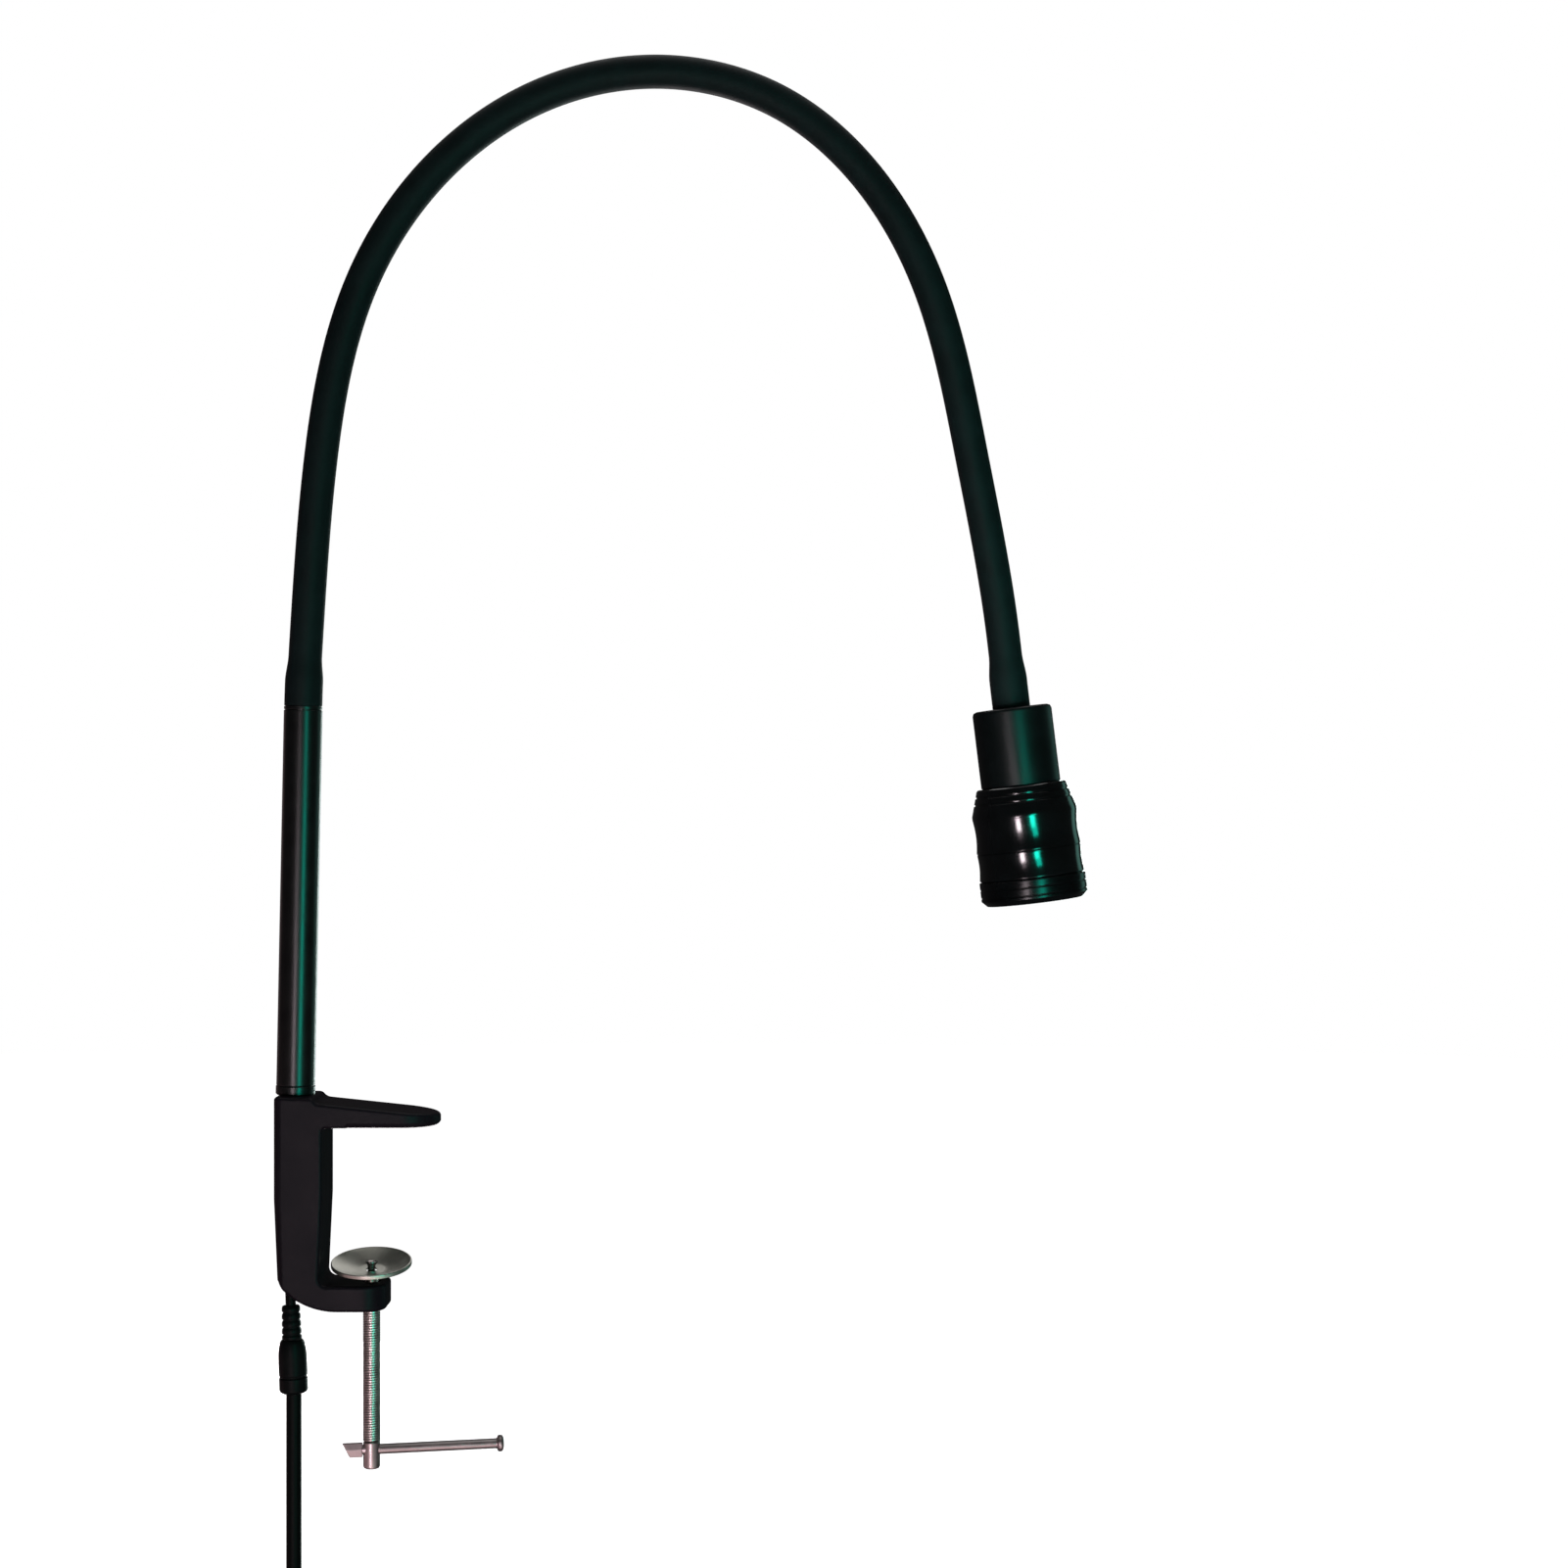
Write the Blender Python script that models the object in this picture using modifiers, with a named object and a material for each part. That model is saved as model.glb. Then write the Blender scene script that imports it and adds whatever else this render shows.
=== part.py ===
"""Clamp-on lamp for curing resin: a table clamp, a straight post, a gooseneck and a turned lamp head.

Units are metres and +Z is up. The origin is on the underside of the clamp's upper jaw, on the axis of
the clamp screw. +X points to the tip of the jaw, and the lamp head hangs on that side.
"""
import math

import bmesh
import bpy
import numpy as np
from mathutils import Matrix, Vector

# Gaps: between faces that rest on each other, and round pieces that slide or turn in a hole
SEAT_GAP = 0.0003
HOLE_GAP = 0.0003

# Clamp frame: a die-cast C, seen from the side
CLAMP_WIDTH = 0.030
CLAMP_BACK_X = -0.0378
CLAMP_WEB_FACE_X = -0.0180
CLAMP_WEB_TAPER = 0.0015
WEB_BREAK_DEPTH = 0.02871
JAW_TIP_X = 0.0282
JAW_TIP_THICKNESS = 0.0049
JAW_ROOT_THICKNESS = 0.0099
SEAT_MARGIN = 0.0006
THROAT = 0.0638
LOWER_JAW_THICKNESS = 0.0104
LOWER_JAW_END_X = 0.0070
LOWER_JAW_CORNER = 0.0090
LOWER_JAW_SWEEP_RADIUS = 0.032
SWEEP_CENTRE_OFFSET = 0.02432
BACK_EDGE_RADIUS = 0.0036
INNER_FILLET = 0.0034
UPPER_FILLET = 0.00136
CAST_EDGE_RADIUS = 0.0013

# Post: it leans a little towards the lamp head
POST_SEAT = (-0.0311, 0.0, 0.0124)
POST_LEAN_DEG = 1.15
POST_OUTER_RADIUS = 0.0078
POST_WALL = 0.0012
POST_TUBE_LENGTH = 0.1530
FOOT_RING_STEP = 0.0002
FOOT_RING_HEIGHT = 0.0032
POST_PLUG_WALL = 0.0010
NIPPLE_BORE_GAP = 0.0011
NIPPLE_IN_CLAMP = 0.0200
POST_PLUG_HEIGHT = 0.0140

# Gooseneck: points of its centre line in the XZ plane, between the post and the lamp head, taken with
# the gooseneck's foot at NECK_START. They and the head move with the top of the post.
NECK_START = (-0.0279169, 0.1709681)
NECK_POINTS = (
    (-0.0264, 0.2030), (-0.0204, 0.2750), (-0.0026, 0.3470), (0.0316, 0.3952), (0.0682, 0.4197),
    (0.1170, 0.4299), (0.1660, 0.4178), (0.1953, 0.3952), (0.2258, 0.3472), (0.2446, 0.2752),
    (0.2574, 0.2032),
)
SLEEVE_RADIUS = 0.0068
SLEEVE_END_STEP = 0.0009
SLEEVE_FLARE_LENGTH = 0.020
FLARE_START = 0.0098
CORE_RADIUS = 0.0045
CORE_GAP = 0.0004
NECK_JOINTS = 7
NECK_END_MARGIN = 0.045
NECK_RING_STEP = 0.0115
BALL_STEP = 0.0002
SOCKET_GAP = 0.0008
SOCKET_START = 0.0022
CORE_JOINT_BACK = 0.001
CORE_JOINT_AHEAD = 0.0078

# Ferrules at both ends of the gooseneck
FERRULE_BODY_RADIUS = 0.0057
FERRULE_BODY_LENGTH = 0.0140
FERRULE_FLANGE_STEP = 0.00005
FERRULE_FLANGE_HEIGHT = 0.0012
FERRULE_STUD_RADIUS = 0.0042
FERRULE_STUD_LENGTH = 0.0095
FERRULE_BORE_GAP = 0.0004
FERRULE_NUT_RADIUS = 0.0072
FERRULE_NUT_HEIGHT = 0.0040

# Lamp head: turned pieces on one axis, with depths measured from the top of its neck
HEAD_TOP = (0.2613, 0.0, 0.1700)
HEAD_TILT_DEG = 7.0
LAMP_NECK_RADIUS = 0.0162
LAMP_NECK_LENGTH = 0.0315
LAMP_NECK_TOP_WALL = 0.0035
LAMP_NECK_WALL = 0.0022
LAMP_NECK_LEDGE = 0.0008
LAMP_NECK_LEDGE_DEPTH = 0.0130
SPIGOT_STEP = 0.0012
SPIGOT_LENGTH = 0.0060
BARREL_TOP_STEP = 0.0020
BARREL_RADIUS = 0.0214
BARREL_LENGTH = 0.0375
SHOULDER_HEIGHT = 0.0107
SHOULDER_GROOVES = (0.0027, 0.0057)
GROOVE_WIDTH = 0.0008
GROOVE_DEPTH = 0.0006
WAIST_TOP = 0.0122
WAIST_BOTTOM = 0.0257
WAIST_DEPTH = 0.0009
BAND_DIP = 0.0004
BARREL_WALL = 0.0038
SHELF_TOP = 0.0130
SHELF_THICKNESS = 0.0055
UPPER_CAVITY_RADIUS = 0.0120
WIRE_HOLE_RADIUS = 0.0015
WIRE_HOLE_OFFSET = 0.0080
BARREL_SPIGOT_STEP = 0.0024
BEZEL_STEP = 0.0003
BEZEL_HEIGHT = 0.0098
BEZEL_RINGS = 3
BEZEL_CHAMFER = 0.0021
BEZEL_LIP_WIDTH = 0.0016
BEZEL_LIP_HEIGHT = 0.0016
LENS_THICKNESS = 0.0020
SEAL_HEIGHT = 0.0019
SEAL_WIDTH = 0.0012
REFLECTOR_THROAT_RADIUS = 0.0042
REFLECTOR_WALL = 0.0009
LED_BOARD_RADIUS = 0.0100
LED_BOARD_THICKNESS = 0.0016
LED_PACKAGE_SIDE = 0.0050
LED_PACKAGE_HEIGHT = 0.0009
LED_DOME_RADIUS = 0.0022
DRIVER_BOARD_THICKNESS = 0.0016
DRIVER_COIL_RADIUS = 0.0040
DRIVER_COIL_HEIGHT = 0.0050

# Clamp screw, with its rivet, pressure pad and sliding bar
SCREW_RADIUS = 0.0033
SCREW_REACH = 0.0808
SCREW_FOOT_STEP = 0.0001
SCREW_FOOT_HEIGHT = 0.0110
SCREW_NOSE_STEP = 0.00075
SCREW_NOSE_LENGTH = 0.0046
PAD_STAND = 0.0042
PAD_TILT_DEG = 13.5
PAD_RADIUS = 0.0164
PAD_DISH = 0.0035
PAD_THICKNESS = 0.0010
PAD_HUB_RADIUS = 0.0052
PAD_HOLE_GAP = 0.0006
PAD_SWING_ROOM = 0.0009
RIVET_RADIUS = 0.0016
RIVET_FLARE_STEP = 0.0010
RIVET_FLARE_HEIGHT = 0.0014
RIVET_STAND = 0.0038
RIVET_DEPTH = 0.0080
BAR_HEIGHT = 0.0077
BAR_TURN_DEG = 12.0
BAR_RADIUS = 0.00185
BAR_REACH = 0.0511
BAR_HEAD_RADIUS = 0.0034
BAR_HEAD_LENGTH = 0.0028
BAR_FLAT_LENGTH = 0.0082
BAR_FLAT_WIDTH = 0.0056
BAR_FLAT_THICKNESS = 0.0024
BAR_FLAT_SLANT = 0.0030

# Lead out of the clamp, with its in-line connector
LEAD_X = -0.0322
LEAD_Y = 0.0025
LEAD_RADIUS = 0.0021
LEAD_LEAN_DEG = 2.0
LEAD_CHANNEL_GAP = 0.0005
BOOT_STAND = 0.0002
BOOT_LENGTH = 0.0136
BOOT_TOP_RADIUS = 0.0037
BOOT_RADIUS = 0.0040
BOOT_RIBS = 4
BOOT_RIB_DEPTH = 0.0006
JACK_LENGTH = 0.0153
JACK_RADIUS = 0.0058
JACK_SHOULDER = 0.0080
JACK_SOCKET_GAP = 0.00035
JACK_SOCKET_SPARE = 0.0015
PLUG_LENGTH = 0.0063
PLUG_CHAMFER = 0.0014
PLUG_TIP_RADIUS = 0.00275
PLUG_TIP_BORE_RADIUS = 0.0012
PLUG_TIP_LENGTH = 0.0095

# Supply cord: a straight drop, and the rest wound into a hanging coil of two layers
CORD_RADIUS = 0.00315
CORD_DROP = 0.0738
COIL_BEND_RADIUS = 0.030
COIL_INNER_RADIUS = 0.0252
COIL_TURN_GAP = 0.0008
COIL_WHOLE_TURNS = 6
COIL_POINTS_PER_TURN = 24
COIL_TAIL = 0.030
COIL_LEAST_GAP = 0.0004
TIE_ANGLE_DEG = -40.0
TIE_WIDTH = 0.008
TIE_WALL = 0.001
TIE_GAP = 0.0005
USB_BODY = (0.0080, 0.0155, 0.0240)
USB_BODY_EDGE = 0.0016
USB_SHELL = (0.0045, 0.0120, 0.0186)
USB_SHELL_WALL = 0.0004
USB_TONGUE_THICKNESS = 0.0018

# Sizes that follow from the ones above: what fits round or inside another piece
FOOT_RING_RADIUS = POST_OUTER_RADIUS + FOOT_RING_STEP
SEAT_FLAT_HALF = FOOT_RING_RADIUS + SEAT_MARGIN
POST_BORE_RADIUS = POST_OUTER_RADIUS - POST_WALL
POST_PLUG_RADIUS = POST_BORE_RADIUS - HOLE_GAP
NIPPLE_RADIUS = POST_PLUG_RADIUS - POST_PLUG_WALL - HOLE_GAP
NIPPLE_BORE_RADIUS = LEAD_RADIUS + NIPPLE_BORE_GAP
SLEEVE_END_RADIUS = SLEEVE_RADIUS + SLEEVE_END_STEP
SLEEVE_BORE_RADIUS = CORE_RADIUS + CORE_GAP
BALL_RADIUS = SLEEVE_RADIUS - BALL_STEP
SOCKET_RADIUS = BALL_RADIUS + SOCKET_GAP
FERRULE_FLANGE_RADIUS = SLEEVE_END_RADIUS + FERRULE_FLANGE_STEP
FERRULE_BORE_RADIUS = LEAD_RADIUS + FERRULE_BORE_GAP
LAMP_NECK_BORE_RADIUS = LAMP_NECK_RADIUS - LAMP_NECK_WALL
SPIGOT_RADIUS = LAMP_NECK_RADIUS - SPIGOT_STEP
BARREL_TOP_RADIUS = LAMP_NECK_RADIUS + BARREL_TOP_STEP
BARREL_BORE_RADIUS = BARREL_RADIUS - BARREL_WALL
BARREL_SPIGOT_RADIUS = BARREL_RADIUS - BARREL_SPIGOT_STEP
BEZEL_RADIUS = BARREL_RADIUS + BEZEL_STEP
LENS_RADIUS = BARREL_SPIGOT_RADIUS
BEZEL_LIP_RADIUS = LENS_RADIUS - BEZEL_LIP_WIDTH
SEAL_INNER_RADIUS = BARREL_SPIGOT_RADIUS - SEAL_WIDTH
LENS_STACK = BEZEL_LIP_HEIGHT + LENS_THICKNESS + SEAL_HEIGHT + 3 * SEAT_GAP
BARREL_SPIGOT_LENGTH = BEZEL_HEIGHT + SEAT_GAP - LENS_STACK
PAD_HUB_Z = -THROAT + PAD_STAND
PAD_HOLE_RADIUS = RIVET_RADIUS + PAD_HOLE_GAP
RIVET_FLARE_RADIUS = RIVET_RADIUS + RIVET_FLARE_STEP
SCREW_FOOT_RADIUS = SCREW_RADIUS + SCREW_FOOT_STEP
SCREW_NOSE_RADIUS = SCREW_RADIUS - SCREW_NOSE_STEP
SCREW_BOTTOM_Z = PAD_HUB_Z - SCREW_REACH
BAR_Z = SCREW_BOTTOM_Z + BAR_HEIGHT
LEAD_CHANNEL_RADIUS = LEAD_RADIUS + LEAD_CHANNEL_GAP
BOOT_TOP_Z = -THROAT - LOWER_JAW_THICKNESS - BOOT_STAND
JACK_SOCKET_RADIUS = PLUG_TIP_RADIUS + JACK_SOCKET_GAP
JACK_SOCKET_DEPTH = PLUG_TIP_LENGTH + JACK_SOCKET_SPARE
COIL_PITCH = 2 * CORD_RADIUS + COIL_TURN_GAP

# The connector leans about the foot of its plug, from which the supply cord hangs plumb
PLUG_FOOT_Z = BOOT_TOP_Z - BOOT_LENGTH - JACK_LENGTH - PLUG_LENGTH - 2 * SEAT_GAP
CORD_DROP_END_Z = PLUG_FOOT_Z - CORD_DROP

# Heights along the post, from its seat on the clamp, and the end of the sleeve above the head
RING_TOP = SEAT_GAP + FOOT_RING_HEIGHT
TUBE_BOTTOM = RING_TOP + SEAT_GAP
TUBE_TOP = TUBE_BOTTOM + POST_TUBE_LENGTH
LOWER_FLANGE = TUBE_TOP + SEAT_GAP
SLEEVE_START = LOWER_FLANGE + FERRULE_FLANGE_HEIGHT + SEAT_GAP
SLEEVE_END = FERRULE_FLANGE_HEIGHT + 2 * SEAT_GAP

# Facet counts
ROUND_STEPS = 32
SMALL_STEPS = 20
FINE_PITCH_STEPS = 14
BOWL_STEPS = 24
SLEEVE_RESOLUTION = 4
CORE_RESOLUTION = 2
LOOP_RESOLUTION = 1

for old in list(bpy.data.objects):
    bpy.data.objects.remove(old, do_unlink=True)

lamp = bpy.data.collections.new("uv_curing_lamp")
cutters = bpy.data.collections.new("cutters")
bpy.context.scene.collection.children.link(lamp)
bpy.context.scene.collection.children.link(cutters)


def material(name, colour, roughness, metallic):
    """A Principled material with one colour."""
    made = bpy.data.materials.new(name)
    made.use_nodes = True
    shader = made.node_tree.nodes["Principled BSDF"]
    shader.inputs["Base Color"].default_value = (*colour, 1.0)
    shader.inputs["Roughness"].default_value = roughness
    shader.inputs["Metallic"].default_value = metallic
    return made


CAST_BLACK = material("powder_coated_casting", (0.012, 0.010, 0.012), 0.45, 0.0)
POST_BLACK = material("gloss_black_tube", (0.008, 0.008, 0.009), 0.20, 0.3)
SLEEVE_BLACK = material("matte_rubber_sleeve", (0.008, 0.012, 0.013), 0.60, 0.0)
CORE_STEEL = material("wound_steel_core", (0.45, 0.45, 0.46), 0.40, 1.0)
SATIN_BLACK = material("satin_anodised", (0.012, 0.012, 0.013), 0.38, 0.6)
GLOSS_BLACK = material("gloss_anodised", (0.008, 0.008, 0.009), 0.15, 0.6)
NICKEL = material("nickel_plated_steel", (0.62, 0.60, 0.58), 0.25, 1.0)
BRASS = material("turned_brass", (0.70, 0.52, 0.25), 0.30, 1.0)
GLASS = material("clear_glass", (0.80, 0.82, 0.90), 0.05, 0.0)
MIRROR = material("mirror_coating", (0.90, 0.90, 0.92), 0.08, 1.0)
SEAL_RUBBER = material("seal_rubber", (0.020, 0.020, 0.020), 0.70, 0.0)
BOARD_WHITE = material("white_board", (0.70, 0.71, 0.70), 0.50, 0.0)
BOARD_GREEN = material("green_board", (0.02, 0.14, 0.06), 0.45, 0.0)
EMITTER = material("emitter", (0.75, 0.70, 0.35), 0.30, 0.0)
CORD_BLACK = material("black_cord", (0.010, 0.011, 0.010), 0.50, 0.0)
TIE_BLACK = material("woven_tie", (0.015, 0.015, 0.016), 0.85, 0.0)


def place(name, data, finish, parent=None):
    """Adds an object to the lamp's collection, with its material."""
    made = bpy.data.objects.new(name, data)
    data.materials.append(finish)
    made.parent = parent
    lamp.objects.link(made)
    return made


def axis_empty(name, location, axis="Y", angle_deg=0.0):
    """An empty that carries the pieces of one axis."""
    made = bpy.data.objects.new(name, None)
    made.matrix_world = Matrix.Translation(location) @ Matrix.Rotation(math.radians(angle_deg), 4, axis)
    lamp.objects.link(made)
    bpy.context.view_layer.update()
    return made


def as_cutter(piece):
    """Hides a piece that only shapes others, and moves it to the cutters' collection."""
    lamp.objects.unlink(piece)
    cutters.objects.link(piece)
    piece.hide_render = True
    piece.display_type = "WIRE"
    return piece


def cut(piece, cutter, operation="DIFFERENCE"):
    """A Boolean between a piece and another mesh."""
    step = piece.modifiers.new(operation.lower(), "BOOLEAN")
    step.operation = operation
    step.object = cutter
    return piece


def turned(name, profile, finish, parent, steps=ROUND_STEPS, closed=True):
    """Turns a profile of (radius, height) points about the parent's Z axis.

    The points run down the outer side and back up the inner side.
    """
    data = bpy.data.meshes.new(name)
    count = len(profile)
    edges = [(i, i + 1) for i in range(count - 1)]
    if closed:
        edges.append((count - 1, 0))
    data.from_pydata([(radius, 0.0, height) for radius, height in profile], edges, [])
    made = place(name, data, finish, parent)
    screw = made.modifiers.new("turn", "SCREW")
    screw.steps = steps
    screw.render_steps = steps
    screw.use_merge_vertices = True
    screw.merge_threshold = 0.00001
    weld = made.modifiers.new("weld", "WELD")
    weld.merge_threshold = 0.00001
    return made


def rod_profile(radius, top, bottom, edge=0.0):
    """The profile of a plain solid round, with an optional chamfer at both ends."""
    if edge == 0.0:
        return [(0.0, top), (radius, top), (radius, bottom), (0.0, bottom)]
    return [
        (0.0, top), (radius - edge, top), (radius, top - edge),
        (radius, bottom + edge), (radius - edge, bottom), (0.0, bottom),
    ]


def ring_profile(outer, inner, top, bottom, edge=0.0):
    """The profile of a plain ring or tube, with an optional chamfer on its outer edges."""
    outside = [(outer, top), (outer, bottom)]
    if edge > 0.0:
        outside = [(outer - edge, top), (outer, top - edge), (outer, bottom + edge), (outer - edge, bottom)]
    return outside + [(inner, bottom), (inner, top)]


def baked(piece):
    """Replaces a curve by its mesh, with its caps welded on."""
    bpy.context.view_layer.update()
    evaluated = piece.evaluated_get(bpy.context.evaluated_depsgraph_get())
    data = bpy.data.meshes.new_from_object(evaluated)
    shell = bmesh.new()
    shell.from_mesh(data)
    bmesh.ops.remove_doubles(shell, verts=shell.verts, dist=0.000001)
    shell.to_mesh(data)
    shell.free()
    name, parent, world = piece.name, piece.parent, piece.matrix_world.copy()
    bpy.data.objects.remove(piece, do_unlink=True)
    made = bpy.data.objects.new(name, data)
    lamp.objects.link(made)
    made.parent = parent
    made.matrix_world = world
    return made


def tube(name, points, radius, finish, resolution, parent=None, radii=None):
    """A solid round swept along points, which may have a radius each."""
    curve = bpy.data.curves.new(name, "CURVE")
    curve.dimensions = "3D"
    curve.bevel_depth = radius
    curve.bevel_resolution = resolution
    curve.use_fill_caps = True
    spline = curve.splines.new("POLY")
    spline.points.add(len(points) - 1)
    for i, point in enumerate(points):
        spline.points[i].co = (*point, 1.0)
        spline.points[i].radius = 1.0 if radii is None else radii[i] / radius
    return baked(place(name, curve, finish, parent))


def extruded(name, outline, half_depth, finish, parent=None):
    """A flat outline with an even thickness, centred on its own plane."""
    curve = bpy.data.curves.new(name, "CURVE")
    curve.dimensions = "2D"
    curve.fill_mode = "BOTH"
    curve.extrude = half_depth
    spline = curve.splines.new("POLY")
    spline.points.add(len(outline) - 1)
    for i, (x, y) in enumerate(outline):
        spline.points[i].co = (x, y, 0.0, 1.0)
    spline.use_cyclic_u = True
    return baked(place(name, curve, finish, parent))


def arc(centre, radius, start_deg, end_deg, steps):
    """Points on a circular arc."""
    angles = [math.radians(start_deg + (end_deg - start_deg) * i / steps) for i in range(steps + 1)]
    return [(centre[0] + radius * math.cos(a), centre[1] + radius * math.sin(a)) for a in angles]


def block(name, size, centre, finish, parent=None, edge=0.0):
    """A box, with its edges rounded where a width is given."""
    data = bpy.data.meshes.new(name)
    shell = bmesh.new()
    bmesh.ops.create_cube(shell, size=1.0)
    bmesh.ops.scale(shell, vec=size, verts=shell.verts)
    bmesh.ops.translate(shell, vec=centre, verts=shell.verts)
    shell.to_mesh(data)
    shell.free()
    made = place(name, data, finish, parent)
    if edge > 0.0:
        bevel = made.modifiers.new("edges", "BEVEL")
        bevel.width = edge
        bevel.segments = 2
    return made


def smooth_path(points, start_direction, end_direction, step):
    """Evenly spaced points on a cubic spline through a route, with a direction given at each end."""
    route = np.array(points, dtype=float)
    spans = np.linalg.norm(np.diff(route, axis=0), axis=1)
    knots = np.concatenate([[0.0], np.cumsum(spans)])
    count = len(route)
    system = np.zeros((count, count))
    wanted = np.zeros_like(route)
    system[0, 0] = 1.0
    system[-1, -1] = 1.0
    wanted[0] = start_direction
    wanted[-1] = end_direction
    for i in range(1, count - 1):
        before, after = spans[i - 1], spans[i]
        system[i, i - 1: i + 2] = (1.0 / before, 2.0 / before + 2.0 / after, 1.0 / after)
        wanted[i] = 3.0 * (route[i] - route[i - 1]) / before ** 2
        wanted[i] += 3.0 * (route[i + 1] - route[i]) / after ** 2
    slopes = np.linalg.solve(system, wanted)
    dense = []
    for i, span in enumerate(spans):
        for t in np.linspace(0.0, 1.0, 40, endpoint=i == len(spans) - 1):
            dense.append(
                (2 * t ** 3 - 3 * t ** 2 + 1) * route[i] + (t ** 3 - 2 * t ** 2 + t) * span * slopes[i]
                + (3 * t ** 2 - 2 * t ** 3) * route[i + 1] + (t ** 3 - t ** 2) * span * slopes[i + 1]
            )
    dense = np.array(dense)
    run = np.concatenate([[0.0], np.cumsum(np.linalg.norm(np.diff(dense, axis=0), axis=1))])
    even = np.linspace(0.0, run[-1], max(2, round(run[-1] / step) + 1))
    return np.stack([np.interp(even, run, dense[:, k]) for k in range(dense.shape[1])], axis=1)


post_axis = axis_empty("post_axis", POST_SEAT, "Y", POST_LEAN_DEG)
POST_UP = post_axis.matrix_world.to_3x3() @ Vector((0.0, 0.0, 1.0))


def on_post(height):
    """A point on the post's axis."""
    return tuple(Vector(POST_SEAT) + POST_UP * height)


# How far the gooseneck and the head are carried by the top of the post
NECK_LIFT = Vector(on_post(SLEEVE_START)) - Vector((NECK_START[0], 0.0, NECK_START[1]))
HEAD_PLACE = Vector(HEAD_TOP) + NECK_LIFT

head_axis = axis_empty("head_axis", HEAD_PLACE, "Y", -HEAD_TILT_DEG)
HEAD_UP = head_axis.matrix_world.to_3x3() @ Vector((0.0, 0.0, 1.0))
screw_axis = axis_empty("screw_axis", (0.0, 0.0, 0.0))
lead_axis = axis_empty("lead_axis", (LEAD_X, LEAD_Y, PLUG_FOOT_Z), "Y", -LEAD_LEAN_DEG)
bar_axis = axis_empty("bar_axis", (0.0, 0.0, BAR_Z), "Z", BAR_TURN_DEG)
pad_pivot = axis_empty("pad_pivot", (0.0, 0.0, PAD_HUB_Z), "X", PAD_TILT_DEG)


def clamp_outline():
    """The side view of the clamp frame as (x, z) points, anticlockwise from the bottom of the web."""
    seat_slope = math.tan(math.radians(POST_LEAN_DEG))
    seat_x, seat_z = POST_SEAT[0], POST_SEAT[2]
    seat_right = seat_x + SEAT_FLAT_HALF
    web_low_x = CLAMP_WEB_FACE_X - CLAMP_WEB_TAPER
    floor_z = -THROAT
    base_z = -THROAT - LOWER_JAW_THICKNESS
    web_foot_x = CLAMP_BACK_X + CLAMP_WEB_TAPER
    sweep_x = web_foot_x + SWEEP_CENTRE_OFFSET
    sweep = arc((sweep_x, base_z + LOWER_JAW_SWEEP_RADIUS), LOWER_JAW_SWEEP_RADIUS, 230.0, 270.0, 5)
    points = [(web_foot_x, floor_z + 0.0004)] + sweep
    points += [(LOWER_JAW_END_X, base_z), (LOWER_JAW_END_X, floor_z)]
    points += arc((web_low_x + INNER_FILLET, floor_z + INNER_FILLET), INNER_FILLET, 270.0, 180.0, 4)
    points += [(CLAMP_WEB_FACE_X, -WEB_BREAK_DEPTH)]
    points += arc((CLAMP_WEB_FACE_X + UPPER_FILLET, -UPPER_FILLET), UPPER_FILLET, 180.0, 90.0, 3)
    points += [(JAW_TIP_X, 0.0), (JAW_TIP_X, JAW_TIP_THICKNESS)]
    points += [(seat_right + 0.0034, JAW_ROOT_THICKNESS), (seat_right + 0.0010, JAW_ROOT_THICKNESS + 0.0007)]
    points += [(seat_right, seat_z - seat_slope * SEAT_FLAT_HALF)]
    points += [(CLAMP_BACK_X, seat_z + seat_slope * (seat_x - CLAMP_BACK_X))]
    points += [(CLAMP_BACK_X, -WEB_BREAK_DEPTH)]
    return points


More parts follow.
